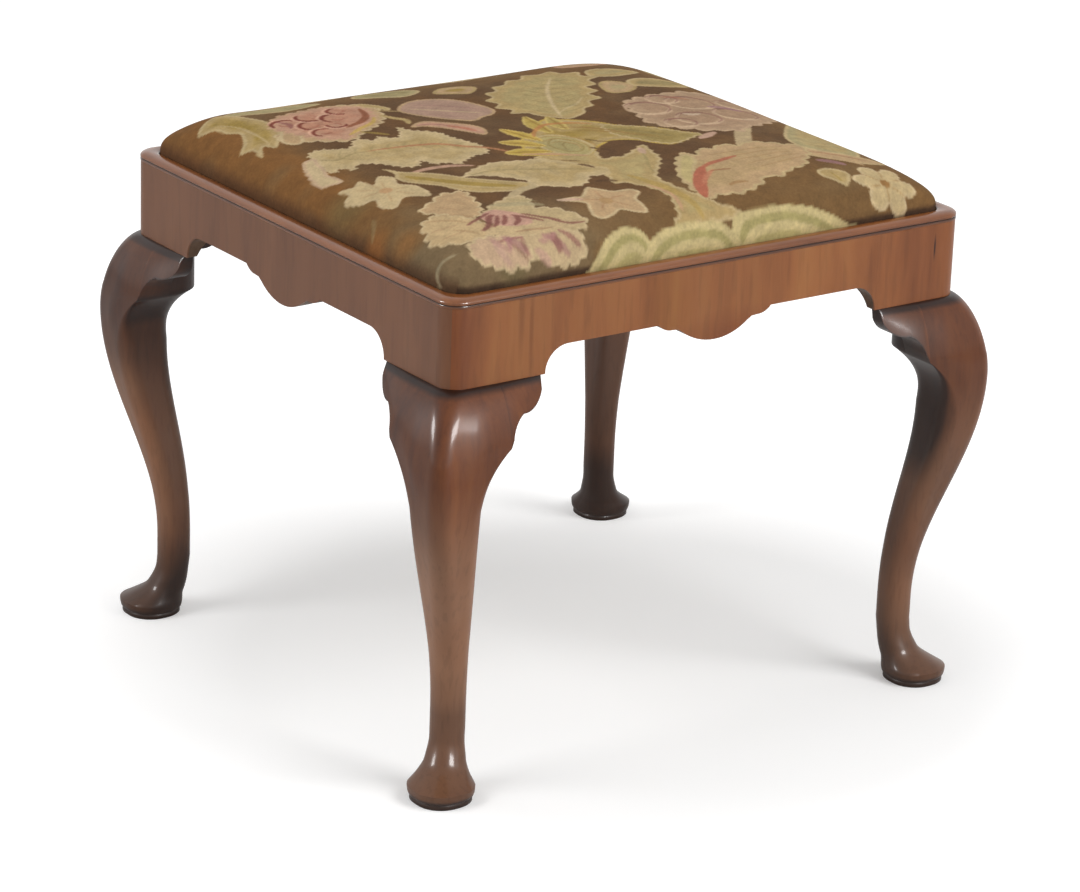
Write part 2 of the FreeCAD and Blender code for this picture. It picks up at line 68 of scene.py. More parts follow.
# Rail corners, lip moulding and the rebate of the seat
corner_radius = 18.0
recess_inset = 11.5
recess_radius = 20.0
ledge = hem_bottom - 0.3
band_height = 2.5
band_proud = 0.3
band_arris = 0.4
bead_proud = 0.4
bead_nose = 1.6
bead_quirk = 1.0
bead_fall = 8.5
bead_inner_round = 1.5

# Legs, with insets measured in from the veneered faces
post_near = 1.5
post_far = 47.5
knee_out = 25.3
knee_drop = 70.3
knee_power = 1.8
knee_flatness = 0.6
knee_arris = 15.0
knee_back_arris = 29.0
ear_seat_height = 48.3
waist_height = 261.5
waist_inset = 25.8
waist_power = 2.7
shank_arris = 14.2
back_swing = 1.2
ankle_top = 77.0
ankle_bottom = 56.5
ankle_inset = 27.0
ankle_radius = 14.3
foot_inset = 12.2
foot_radius = 27.4
foot_thick = 13.0
pad_height = 4.6
pad_radius = 25.2
pad_round = 0.8
pad_step = 0.5
foot_power = 0.8
ankle_step = 7
round_share = 0.9
sharp_arris = 0.05
post_arris = 0.4
foot_shares = ((0, 1, 1), (0.15, 0.70, 0.58), (0.30, 0.40, 0.27), (0.49, 0.21, 0.12), (0.70, 0.08, 0.01),
               (1, 0, 0))   # height, then inset and radius from the ankle (0) to the foot (1)

# Ears beside the knees
ear_reach = 89.5
ear_tip = (88.0, 10.3)
lobe_mid = (82.5, 18.6)
lobe_end = (64.0, 24.3)
scoop_mid = (55.0, 31.8)
scoop_end = (50.5, 42.3)
ear_end_share = 0.4
ear_power = 1.5
ear_back = 9.0
ear_softening = 1.6

# Seat
seat_rim = lip_top + 2.2
seat_corner_radius = 19.4
corner_growth = 50.0
corner_growth_reach = 32.0
edge_roll = 26.0
edge_rise = 18.8
crown_rise = 20.1
crown_power = 5.8
# Fuller and flatter places: shares of the seat's half width and depth, then reach and height
fuller_places = ((-0.84, 0.84, 26, 3.5), (0.7, 0.84, 40, 1.4), (0.86, 0.2, 60, 1.2), (-0.2, -0.3, 90, -0.6))
hem_width = 26.0
cover_thick = 1.4
calico_thick = 0.5
cloth_spacing = 1.72
layer_spacing = 14.0
creases = {"stool_frame": radians(50), "drop_in_seat": radians(60)}   # edges sharper than this stay sharp

# Camera, found from the rails and feet in the photograph
photo_width = 1080
camera_place = (-2.0115, -2.8131, 1.4361)
camera_yaw = radians(-35.654)
camera_pitch = radians(19.829)
camera_roll = radians(-2.078)
camera_focal_pixels = 4139.1


def to_linear(screen):
    """Linear light from screen values of 0 to 1."""
    return np.where(screen < 0.04045, screen / 12.92, ((screen + 0.055) / 1.055) ** 2.4)


def srgb(*parts):
    """Linear colour from screen values of 0 to 255."""
    return (*to_linear(np.array(parts) / 255).tolist(), 1)


# Light and colours of the whole scene, with places in metres
stool_middle = (0, 0, 0.35)
front_corner = (-0.26, -0.25, 0.33)
lamps = (("right_lamp", (1.25, -2.3, 2.5), stool_middle, (1.8, 1.8), 64),
         ("left_lamp", (-2.6, 0.35, 2.5), stool_middle, (1.6, 1.6), 39),
         ("front_window", (0.31, -2.97, 1.45), front_corner, (1.3, 0.7), 115, True),
         ("left_window", (-2.59, 0.84, 1.16), front_corner, (0.8, 0.7), 58, True))
world_light = 0.5
floor_reach = 14
glow_reach = 2.5
glow_shift = (-0.012, 0.032, 0)
glow_stops = ((0.79, 0.54), (0.87, 0.23))
patina_and_shade_tint = srgb(100, 92, 88)
leg_tones = (srgb(82, 38, 12), srgb(110, 57, 21), srgb(125, 70, 30))
# Pale painted sheen of the shanks, a painted reflection of the floor
shank_sheen_tone = srgb(146, 104, 76)
front_tones = (srgb(124, 69, 31), srgb(149, 90, 45), srgb(159, 103, 54))
# Side veneers darker than the front: painted shade of the less lit sides
side_shade_tones = (srgb(96, 58, 34), srgb(114, 71, 43), srgb(124, 81, 51))
lip_tones = (srgb(104, 56, 26), srgb(130, 75, 36), srgb(144, 88, 44))
beech_tones = (srgb(74, 52, 36), srgb(94, 68, 48), srgb(108, 82, 58))
pale_tones = (srgb(140, 104, 68), srgb(166, 130, 90), srgb(186, 152, 110))

# Darker and paler patches of the front veneer, the last but one an upright crack
front_spots = [((x, -0.25, z), (wide, 0.2, high), tint)
               for x, z, wide, high, tint in ((-0.262, 0.40, 0.04, 0.16, srgb(214, 194, 178)),
                                              (-0.196, 0.42, 0.004, 0.06, srgb(226, 218, 210)),
                                              (-0.186, 0.40, 0.003, 0.05, srgb(226, 218, 210)),
                                              (-0.05, 0.40, 0.03, 0.09, srgb(255, 255, 232)),
                                              (0.255, 0.41, 0.11, 0.14, srgb(226, 216, 212)),
                                              (0.234, 0.407, 0.0014, 0.014, srgb(96, 84, 78)),
                                              (0.02, 0.36, 0.07, 0.03, srgb(232, 216, 206)))]


def place_in_scene(name, data):
    """New object from its data."""
    placed = bpy.data.objects.new(name, data)
    bpy.context.scene.collection.objects.link(placed)
    return placed


def add_mesh(how, cad_node, points, faces, body, slot, material):
    """New piece from points in millimetres, named by how it is made and the CAD node it stands for."""
    name = how + "_" + cad_node
    mesh = bpy.data.meshes.new(name)
    mesh.from_pydata((np.asarray(points) * MM).tolist(), [], faces)
    mesh.update()
    mesh.polygons.foreach_set("use_smooth", np.ones(len(mesh.polygons), bool))
    mesh.set_sharp_from_angle(angle=creases[body])
    mesh.materials.append(material)
    piece = place_in_scene(name, mesh)
    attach(piece, body)
    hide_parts(cad_node)
    return piece


def loft(rings):
    """Points and faces of a wall through closed rings, with a face over each end."""
    count = len(rings[0])
    faces = []
    for low in range(0, (len(rings) - 1) * count, count):
        high = low + count
        for index in range(count):
            after = (index + 1) % count
            faces.append((low + index, low + after, high + after, high + index))
    top = (len(rings) - 1) * count
    faces.append(tuple(reversed(range(count))))
    faces.append(tuple(range(top, top + count)))
    return np.concatenate(rings), faces


def grid_faces(rows, columns):
    """Quads of a grid of points that are numbered row by row."""
    corner = np.arange(rows * columns).reshape(rows, columns)
    quads = np.stack([corner[:-1, :-1], corner[:-1, 1:], corner[1:, 1:], corner[1:, :-1]], axis=-1)
    return [tuple(face) for face in quads.reshape(-1, 4).tolist()]


def border(rows, columns):
    """Indices round the edge of a grid, anticlockwise from its lowest corner."""
    index = np.arange(rows * columns).reshape(rows, columns)
    return np.concatenate([index[0, :-1], index[:-1, -1], index[-1, :0:-1], index[:0:-1, 0]])


def wall(first, second):
    """Quads between two closed lines of numbered points."""
    return [(int(first[index]), int(first[index - 1]), int(second[index - 1]), int(second[index]))
            for index in range(len(first))]


def flipped(faces, shift=0):
    """Faces turned over, on points that come later by a shift."""
    return [tuple(index + shift for index in reversed(face)) for face in faces]


def join(parts):
    """Several sets of points and faces as one."""
    points = []
    faces = []
    for some_points, some_faces in parts:
        shift = sum(len(p) for p in points)
        points.append(np.asarray(some_points, float))
        faces += [tuple(index + shift for index in face) for face in some_faces]
    return np.concatenate(points), faces


def mirrored(points, faces, x_sign, y_sign):
    """The front left piece at another corner."""
    moved = np.asarray(points, float) * (x_sign, y_sign, 1)
    return moved, flipped(faces) if x_sign * y_sign < 0 else faces


def corner_ring(u, v, x, y, radii, z, steps, between=0, swell=0.0):
    """Closed ring with four round corners; its first and last sides may swell outwards."""
    arcs = []
    for index, (corner_u, corner_v) in enumerate(((u, v), (x, v), (x, y), (u, y))):
        radius = radii[index]
        middle_u = corner_u + (radius if corner_u == u else -radius)
        middle_v = corner_v + (radius if corner_v == v else -radius)
        angles = np.radians(180 + 90 * index + 90 * np.arange(steps + 1) / steps)
        arcs.append(np.column_stack([middle_u + radius * np.cos(angles), middle_v + radius * np.sin(angles)]))
    shares = np.arange(1, between + 1)[:, None] / (between + 1)
    ring = []
    for index in range(4):
        start, end = arcs[index][-1], arcs[(index + 1) % 4][0]
        side = start + (end - start) * shares
        if index in (0, 3):
            side[:, 1 if index == 0 else 0] -= swell * np.sin(pi * shares[:, 0]) ** 2
        ring += [arcs[index], side]
    ring = np.concatenate(ring)
    return np.column_stack([ring, np.full(len(ring), z)])


def curve_through(xs, ys, at):
    """Smooth curve through a few points, read at a place on its first axis."""
    slopes = np.gradient(ys, xs)
    index = int(np.clip(np.searchsorted(xs, at) - 1, 0, len(xs) - 2))
    width = xs[index + 1] - xs[index]
    t = (at - xs[index]) / width
    return ((1 + 2 * t) * (1 - t) ** 2 * ys[index] + t * (1 - t) ** 2 * width * slopes[index]
            + t * t * (3 - 2 * t) * ys[index + 1] + t * t * (t - 1) * width * slopes[index + 1])


def arc_through(start, middle, end, steps):
    """Points of the arc through three points of a plane."""
    (ax, ay), (bx, by), (cx, cy) = start, middle, end
    twice = 2 * (ax * (by - cy) + bx * (cy - ay) + cx * (ay - by))
    square_a, square_b, square_c = ax * ax + ay * ay, bx * bx + by * by, cx * cx + cy * cy
    ox = (square_a * (by - cy) + square_b * (cy - ay) + square_c * (ay - by)) / twice
    oy = (square_a * (cx - bx) + square_b * (ax - cx) + square_c * (bx - ax)) / twice
    radius = hypot(ax - ox, ay - oy)
    first = atan2(ay - oy, ax - ox)
    turn = (atan2(cy - oy, cx - ox) - first + pi) % (2 * pi) - pi
    return [(ox + radius * cos(first + turn * step / steps), oy + radius * sin(first + turn * step / steps))
            for step in range(steps + 1)]


def swing(share):
    """Smooth S from 0 to 1."""
    return (1 - np.cos(pi * share)) / 2


def part_way(place, start, end):
    """How far a place lies from a start towards an end, from 0 to 1."""
    return np.clip((place - start) / (end - start), 0, 1)


def quarter(steps, first=0):
    """Angles of a quarter turn in even steps."""
    return [pi / 2 * step / steps for step in range(first, steps + 1)]


# Legs and ears
knee_height = leg_height - knee_drop
ear_seat = leg_height - ear_seat_height
knee_bulge = 2.2
leg_steps = 9              # along each round corner of a section
side_points = 5
arc_steps = 8
foot_steps = 21
shank_steps = 36
waist_steps = 14
knee_steps = 18
ear_steps = 18

# How far each leg is darkened, by height, for the signs that mirror the front left leg to it; on the back
# right leg this is painted shade under the stool
leg_darkening = {(1, 1): ((0, 0.0), (40, 0.0), (70, 0.4), (110, 0.12), (140, 0.0)),
            (1, -1): ((0, 0.25), (60, 0.3), (110, 0.0), (230, 0.0), (290, 0.2)),
            (-1, 1): ((0, 0.05), (60, 0.12), (110, 0.26), (200, 0.36), (290, 0.4)),
            (-1, -1): ((0, 0.5), (40, 0.42), (300, 0.42))}
knee_side_shade = 0.5            # painted shade: more on the knees' left sides, less on their right sides
inward_shade = 0.75
underside_shade = 1.2
foot_dark = 0.55
knee_zone = (190, 250)     # heights between which each of these grows from nothing to full
foot_zone = (84, 34)
sole_zone = (9, 0)
shank_sheen_fade = 70.0


def knee_swell(z):
    """How far the knee stands out of the rail face."""
    share = part_way(z, knee_height, leg_height)
    return knee_out * (1 - share ** knee_power) ** knee_flatness


def leg_ring(z, near, far, outer, side, inner, bulge=0.0):
    """Section of the front left leg."""
    return corner_ring(near - half_x, near - half_y, far - half_x, far - half_y,
                       (outer, side, inner, side), z, leg_steps, side_points, bulge)


def round_ring(z, inset, radius):
    """Round section of the foot and ankle."""
    arris = radius * round_share
    return leg_ring(z, inset - radius, inset + radius, arris, arris, arris)


def foot_rings():
    """Sections from the floor up to the ankle."""
    rings = [round_ring(z, foot_inset, pad_radius - smaller)
             for z, smaller in ((0, pad_round), (0.7, 0), (pad_height - 0.6, 0), (pad_height, pad_step))]
    for angle in quarter(arc_steps):
        z = foot_thick - (foot_thick - pad_height - 0.3) * cos(angle)
        radius = pad_radius - pad_step + (foot_radius - pad_radius + pad_step) * sin(angle) ** foot_power
        rings.append(round_ring(z, foot_inset, radius))
    heights, insets, radii = zip(*foot_shares)
    for step in range(1, foot_steps + 1):
        height = step / foot_steps
        inset_share = curve_through(heights, insets, height)
        radius_share = curve_through(heights, radii, height)
        rings.append(round_ring(foot_thick + (ankle_bottom - foot_thick) * height,
                                foot_inset + (ankle_inset - foot_inset) * (1 - inset_share),
                                ankle_radius + (foot_radius - ankle_radius) * radius_share))
    rings += [round_ring(ankle_bottom + ankle_step * index, ankle_inset, ankle_radius) for index in (1, 2)]
    return rings


def shank_rings():
    """Sections from the ankle up to the rail."""
    ankle_near = ankle_inset - ankle_radius
    ankle_far = ankle_inset + ankle_radius

    def front_inset(z):
        return ankle_near - (ankle_near + knee_out) * swing(part_way(z, ankle_top, knee_height))

    rings = [round_ring(ankle_top, ankle_inset, ankle_radius)]
    for step in range(1, shank_steps):
        share = step / shank_steps
        z = ankle_top + (waist_height - ankle_top) * share
        near = front_inset(z)
        far = ankle_far - (ankle_far - waist_inset) * swing(share ** back_swing)
        arris = min(shank_arris, round_share * (far - near) / 2)
        side = min(arris, shank_arris * (ear_seat - z) / (ear_seat - waist_height))
        rings.append(leg_ring(z, near, far, arris, max(side, sharp_arris), arris))
    for step in range(waist_steps):
        share = step / waist_steps
        z = waist_height + (ear_seat - waist_height) * share
        far = waist_inset + (post_far - waist_inset) * share ** waist_power
        near = -knee_swell(z) if z > knee_height else front_inset(z)
        side = sharp_arris + (shank_arris - sharp_arris) * (1 - share)
        inner = shank_arris + (knee_back_arris - shank_arris) * share
        rings.append(leg_ring(z, near, far, shank_arris, side, inner, knee_bulge * swing(share)))
    for angle in quarter(knee_steps):
        share = sin(angle)
        z = ear_seat + ear_seat_height * share
        outer = knee_arris + (corner_radius - knee_arris) * share
        rings.append(leg_ring(z, -knee_swell(z), post_far, outer, sharp_arris, knee_back_arris,
                              knee_bulge * (1 - share ** 2)))
    return rings


def leg_shape():
    """Points and faces of the front left leg and its post."""
    outer = corner_radius - post_near
    below = [leg_ring(z, post_near, post_far, outer, post_arris, post_arris) for z in (leg_height, ledge)]
    start = recess_inset + recess_radius
    plan = [(post_near + outer * (1 - sin(angle)), post_near + outer * (1 - cos(angle)))
            for angle in quarter(arc_steps)]
    plan += [(post_far, post_near), (post_far, recess_inset)]
    plan += [(start - recess_radius * sin(angle), start - recess_radius * cos(angle))
             for angle in quarter(arc_steps)]
    plan += [(recess_inset, post_far), (post_near, post_far)]
    top = [np.array([(u - half_x, v - half_y, z) for u, v in plan]) for z in (ledge, rail_top)]
    return join([loft(foot_rings() + shank_rings()), loft(below), loft(top)])


def ear_shape(on_side):
    """Points and faces of one ear beside the front left knee, and the numbers of its rim's points."""
    outline = [(post_far, ear_seat_height), scoop_end]
    outline += arc_through(scoop_end, scoop_mid, lobe_end, 8)[1:]
    outline += arc_through(lobe_end, lobe_mid, ear_tip, 10)[1:]
    outline.append((ear_reach, 0.01))
    front = []
    back = []
    for along, drop in outline:
        share = 1 - (1 - ear_end_share) * ((along - post_far) / (ear_reach - post_far)) ** ear_power
        for angle in quarter(ear_steps):
            z = leg_height - drop * (1 - cos(angle))
            front.append((along, -share * knee_swell(z), z))
            back.append((along, ear_back, z))
    columns = len(outline)
    rows = len(front) // columns
    shift = len(front)
    around = border(columns, rows)
    faces = grid_faces(columns, rows)
    faces += flipped(faces, shift) + wall(around, around + shift)
    if on_side:
        placed = [(inset - half_x, along - half_y, z) for along, inset, z in front + back]
        faces = flipped(faces)
    else:
        placed = [(along - half_x, inset - half_y, z) for along, inset, z in front + back]
    rim = {column * rows + rows - 1 for column in range(columns)}
    rim |= set(range((columns - 1) * rows, columns * rows))
    return np.array(placed), faces, rim | {index + shift for index in rim}


def soften_rim(piece, rim, width):
    """Rounds the edges that join two rim points of the same face of an ear."""
    weights = piece.data.attributes.new("bevel_weight_edge", "FLOAT", "EDGE")
    face_points = len(piece.data.vertices) // 2
    for number, line in enumerate(piece.data.edges):
        first, second = line.vertices
        if first in rim and second in rim and abs(first - second) < face_points:
            weights.data[number].value = 1.0
    bevel = piece.modifiers.new("soft_edges", "BEVEL")
    bevel.width = width * MM
    bevel.segments = 3
    bevel.limit_method = "WEIGHT"


def read_vectors(items, name):
    """Vectors of a mesh's vertices as columns."""
    values = np.empty(len(items) * 3, np.float32)
    items.foreach_get(name, values)
    return values.reshape(-1, 3).astype(float).T


def add_values(mesh, name, values):
    """Named value for every vertex."""
    attribute = mesh.attributes.new(name, "FLOAT", "POINT")
    attribute.data.foreach_set("value", np.asarray(values, np.float32))


def paint_patina_and_shade(piece, x_sign, y_sign):
    """Darkening by height for each leg, which on the back right leg is painted shade; painted shade on the
    sides that face inwards and down, more on the knees' left sides, and just under the rail; darker towards
    the foot; and a pale painted sheen on the shank.
    """
    mesh = piece.data
    height = read_vectors(mesh.vertices, "co")[2] / MM
    right, back, up = read_vectors(mesh.vertices, "normal")
    knee = part_way(height, *knee_zone)
    # Darkening by height for this leg; on the back right leg it is painted shade
    darkened = np.interp(height, *zip(*leg_darkening[(x_sign, y_sign)]))
    # Painted shade: the knees' right sides keep less of the darkening than their left sides
    patina_and_shade = np.maximum(0, darkened - knee_side_shade * knee * right)
    # Painted shade on the sides that face inwards, most under the seat, and on the undersides
    inward = (right * x_sign + back * y_sign) / sqrt(2)
    patina_and_shade += (0.4 + 0.6 * knee) * np.maximum(0, inward_shade * inward + 0.1)
    patina_and_shade += underside_shade * np.maximum(0, -up - 0.2)
    # Darker towards the foot and the sole
    patina_and_shade += foot_dark * part_way(height, *foot_zone) + part_way(height, *sole_zone)
    # Painted shade in a band just under the rail
    patina_and_shade += part_way(height, leg_height - 6, leg_height - 2)
    add_values(mesh, "patina_and_shade", np.minimum(1, patina_and_shade))
    # Pale painted sheen on the shank, a painted reflection, fading out towards the knee
    add_values(mesh, "shank_sheen", part_way(height, knee_height, knee_height - shank_sheen_fade))


def make_legs(material):
    """Four legs and eight ears."""
    leg = leg_shape()
    ears = {"_rail_ear": ear_shape(False), "_side_ear": ear_shape(True)}
    for x_name, x_sign in (("left", 1), ("right", -1)):
        for y_name, y_sign in (("front", 1), ("back", -1)):
            corner = y_name + "_" + x_name
            signs = (x_sign, y_sign)
            piece = add_mesh("carved", corner + "_leg", *mirrored(*leg, *signs), "stool_frame", "walnut",
                             material)
            paint_patina_and_shade(piece, *signs)
            for name, (points, faces, rim) in ears.items():
                piece = add_mesh("carved", corner + name, *mirrored(points, faces, *signs), "stool_frame",
                                 "walnut", material)
                soften_rim(piece, rim, ear_softening)
                paint_patina_and_shade(piece, *signs)


# Lip moulding
def lip_profile():
    """Closed outline of the moulding: inset from the rail's face, and height."""
    foot = rail_top + band_height
    rise = lip_top - foot - bead_nose
    outline = [(3, rail_top), (band_arris - band_proud, rail_top), (-band_proud, rail_top + band_arris),
               (-band_proud, foot - band_arris), (band_arris - band_proud, foot)]
    outline += [(bead_quirk * (1 - sin(angle)) - bead_proud, foot + bead_nose * (1 - cos(angle)))
                for angle in quarter(4)]
    outline += [(bead_fall * (1 - cos(angle)) - bead_proud, foot + bead_nose + rise * sin(angle))
                for angle in quarter(10, 1)]
    inner = bead_inner_round
    outline += [(recess_inset - inner * (1 - sin(angle)), lip_top - inner * (1 - cos(angle)))
                for angle in quarter(4, 1)]
    return outline + [(recess_inset, rail_top)]


def lip_corner(inset):
    """Corner radius of the moulding at an inset, outside and towards the rebate."""
    share = max(0, (inset - bead_fall) / (recess_inset - bead_fall))
    outer = corner_radius - inset
    return outer + (recess_radius - outer) * share


def lip_shape(run, cross):
    """One length of moulding along the front, mitred at both ends."""
    rings = []
    turn_steps = 7
    stretch = 12
    for place in range(2 * turn_steps + stretch + 1):
        ring = []
        for inset, z in lip_profile():
            radius = lip_corner(inset)
            centre_u = run - inset - radius
            centre_v = -cross + inset + radius
            if place <= turn_steps:
                angle = radians(225 + 45 * place / turn_steps)
                u, v = -centre_u + radius * cos(angle), centre_v + radius * sin(angle)
            elif place >= turn_steps + stretch:
                angle = radians(270 + 45 * (place - turn_steps - stretch) / turn_steps)
                u, v = centre_u + radius * cos(angle), centre_v + radius * sin(angle)
            else:
                u = -centre_u + 2 * centre_u * (place - turn_steps) / stretch
                v = -cross + inset
            ring.append((u, v, z))
        rings.append(np.array(ring)[::-1])
    return loft(rings)


def make_lips(materials):
    """Moulding on the four sides, with painted shade in its hollows and along the rebate."""
    last = len(lip_profile()) - 1
    # Painted shade in the quirk under the bead and along the rebate beside the cushion
    dark = {3: 0.9, 4: 1.0, 5: 1.0, 6: 0.7, last: 1.0, last - 1: 1.0, last - 2: 0.6}
    for side, c, s in (("front", 1, 0), ("right", 0, 1), ("back", -1, 0), ("left", 0, -1)):
        points, faces = lip_shape(*((half_y, half_x) if s else (half_x, half_y)))
        x, y, z = points.T
        turned = np.column_stack([c * x - s * y, s * x + c * y, z])
        piece = add_mesh("moulded", side + "_lip", turned, faces, "stool_frame", "walnut_moulding",
                         materials[side])
        add_values(piece.data, "patina_and_shade", [dark.get(last - vertex % (last + 1), 0.0)
                                          for vertex in range(len(turned))])


# Seat
def box_distance(x, y, a, b, radius):
    """Signed distance to a rectangle with round corners, negative inside it."""
    u = np.abs(x) - (a - radius)
    v = np.abs(y) - (b - radius)
    return np.hypot(np.maximum(u, 0), np.maximum(v, 0)) + np.minimum(np.maximum(u, v), 0) - radius


def rim_distance(x, y, a, b):
    """How far in from the rim a place on the seat is, by contours whose corners grow rounder."""
    low = np.zeros_like(x)
    high = np.full_like(x, 200.0)
    for _ in range(24):
        middle = (low + high) / 2
        radius = seat_corner_radius + corner_growth * swing(np.minimum(1, middle / corner_growth_reach))
        inside = box_distance(x, y, a - middle, b - middle, radius) < 0
        low = np.where(inside, middle, low)
        high = np.where(inside, high, middle)
    return low


def crown_height(x, y, a, b, drop=0.0):
    """Height of the seat's crown above its rim."""
    left = np.maximum(0, 1 - rim_distance(x, y, a, b) / edge_roll)
    rolled = np.sqrt(np.clip(1 - left ** 2, 0, 1))
    across = (1 - np.abs(x / a) ** crown_power) * (1 - np.abs(y / b) ** crown_power)
    fuller = sum(lift * np.exp(-((x - u * a) ** 2 + (y - v * b) ** 2) / (2 * reach ** 2))
                 for u, v, reach, lift in fuller_places)
    return edge_rise * rolled + (crown_rise - drop) * across + fuller * (1 - left ** 2)


def crown_axis(half, spacing, roll_steps):
    """Places across the seat, closer together where its edge rolls over, and their unrolled places."""
    inner = half - edge_roll
    count = int(round(2 * inner / spacing))
    flat = np.linspace(-inner, inner, count + 1)
    angles = np.linspace(0, pi / 2, roll_steps + 1)[1:]
    out = edge_roll * np.sin(angles)
    fine = np.linspace(0, pi / 2, 2000)
    arc = np.concatenate([[0], np.cumsum(np.hypot(np.diff(edge_roll * np.sin(fine)),
                                                  np.diff(edge_rise * np.cos(fine))))])
    unrolled = np.interp(out, edge_roll * np.sin(fine), arc)
    places = np.concatenate([-(inner + out)[::-1], flat, inner + out])
    lengths = np.concatenate([-(inner + unrolled)[::-1], flat, inner + unrolled])
    return places, lengths


def round_the_corners(x, y, a, b, zone=70.0):
    """Grid places moved so that the grid's edge follows the seat's round corners."""
    u = (np.abs(x) - (a - zone)) / zone
    v = (np.abs(y) - (b - zone)) / zone
    ring = np.maximum(u, v)
    inside = (u > 1e-9) & (v > 1e-9)
    ring_safe = np.where(inside, ring, 1)
    radius = seat_corner_radius / zone * ring_safe ** 2
    straight = ring_safe - radius
    total = 2 * straight + pi / 2 * radius
    along = np.where(u >= v, 0.5 * v / ring_safe, 1 - 0.5 * u / ring_safe) * total
    angle = np.clip((along - straight) / np.maximum(radius, 1e-9), 0, pi / 2)
    past = np.clip(along - straight - pi / 2 * radius, 0, None)
    new_u = np.where(along < straight, ring_safe, straight + radius * np.cos(angle) - past)
    new_v = np.where(along < straight, along, straight + radius * np.sin(angle))
    moved_x = np.where(inside, np.sign(x) * ((a - zone) + zone * new_u), x)
    moved_y = np.where(inside, np.sign(y) * ((b - zone) + zone * new_v), y)
    return moved_x, moved_y


def cover_grid(a, b, spacing, roll_steps, drop=0.0):
    """Crown of one layer of the seat as a grid, with the unrolled place of each point."""
    xs, us = crown_axis(a, spacing, roll_steps)
    ys, vs = crown_axis(b, spacing, roll_steps)
    x, y = np.meshgrid(xs, ys)
    u, v = np.meshgrid(us, vs)
    x, y = round_the_corners(x, y, a, b)
    z = seat_rim + crown_height(x, y, a - 0.001, b - 0.001, drop)
    return x, y, z, u, v


def layer_shape(inset, spacing, roll_steps, skirt, drop=0.0):
    """Crowned layer of the seat: the grid on top, then a skirt of rings given by inset and height."""
    a = seat_x - inset
    b = seat_y - inset
    x, y, z, u, v = cover_grid(a, b, spacing, roll_steps, drop)
    points = [np.column_stack([x.ravel(), y.ravel(), z.ravel()])]
    unrolled = [np.column_stack([u.ravel(), v.ravel()])]
    faces = grid_faces(*x.shape)
    edge_now = border(*x.shape)
    rim = points[0][edge_now]
    rim_unrolled = unrolled[0][edge_now]
    straight = (a - seat_corner_radius, b - seat_corner_radius)
    outward = np.clip(np.abs(rim[:, :2]) - straight, 0, None) * np.sign(rim[:, :2])
    outward /= np.linalg.norm(outward, axis=1, keepdims=True)
    total = x.size
    for shift, height in skirt:
        ring = rim.copy()
        ring[:, :2] -= outward * shift
        ring[:, 2] = height
        now = np.arange(total, total + len(ring))
        faces += wall(edge_now, now)
        points.append(ring)
        unrolled.append(rim_unrolled + outward * (seat_rim - height))
        edge_now = now
        total += len(ring)
    faces.append(tuple(edge_now[::-1].tolist()))
    return np.concatenate(points), faces, np.concatenate(unrolled)


def make_padded(how, cad_node, inset, spacing, roll_steps, skirt, slot, material, drop=0.0):
    """One layer of the seat as a piece of the drop-in seat, with the unrolled places of its points."""
    points, faces, unrolled = layer_shape(inset, spacing, roll_steps, skirt, drop)
    piece = add_mesh(how, cad_node, points, faces, "drop_in_seat", slot, material)
    return piece, unrolled


def make_cover(material):
    """Needlework cover, drawn over the edge of the seat frame and turned under it."""
    inner = frame_bottom - 0.15
    skirt = [(0.0, seat_rim - 4), (0.3, seat_rim - 12), (0.5, hem_bottom + 5), (0.4, hem_bottom + 1.6),
             (1.2, hem_bottom + 0.3), (2.6, hem_bottom), (hem_width - 1, hem_bottom),
             (hem_width, hem_bottom + 0.6), (hem_width - 0.4, inner), (cover_thick + 0.2, inner),
             (cover_thick + 0.1, inner + 8), (cover_thick + 0.1, hessian_top + 0.3)]
    return make_padded("stitched", "needlework_cover", 0, cloth_spacing, 16, skirt, "needlework", material)


def make_inner_layers(calico, hair):
    """Undercover and stuffing inside the needlework."""
    inset = cover_thick + 0.15
    skirt = [(0.2, seat_rim - 6), (0.3, frame_bottom + 9), (0.9, frame_bottom + 9), (0.8, hessian_top + 0.5)]
    make_padded("sewn", "undercover", inset, layer_spacing, 8, skirt, "calico", calico, inset)
    inset = cover_thick + calico_thick + 0.4
    skirt = [(1.5, seat_rim - 0.1), (2.2, hessian_top + 0.6)]
    make_padded("curled", "stuffing", inset, layer_spacing, 8, skirt, "horsehair", hair, inset + 0.4)


# Webbing and hessian under the stuffing
web_thick = 1.6
web_width = 50.0
web_count = 4
seat_rail_width = 45.0
web_tuck = 8.0
web_slope = 24.0
web_round = 0.5
web_flat = 0.05


def band_places(half_opening):
    """Middles of the bands across the seat frame's opening."""
    pitch = 2 * half_opening / web_count
    return [-half_opening + pitch * (index + 0.5) for index in range(web_count)]


def band_shape(across, crossings, half_length, first_over):
    """One woven band along X that rides over every second band it crosses."""
    tops = crossings[0 if first_over else 1::2]
    half = web_width / 2
    section = [(-half, web_round), (web_round - half, web_flat),
               (half - web_round, web_flat), (half, web_round)]
    section += [(out, web_thick - height) for out, height in reversed(section)]
    rings = []
    for u in np.linspace(-half_length, half_length, 121):
        lift = max(1 - swing(part_way(abs(u - middle), half, half + web_slope)) for middle in tops)
        z = frame_top + web_thick * lift
        rings.append(np.array([(u, across + out, z + height) for out, height in reversed(section)]))
    return loft(rings)


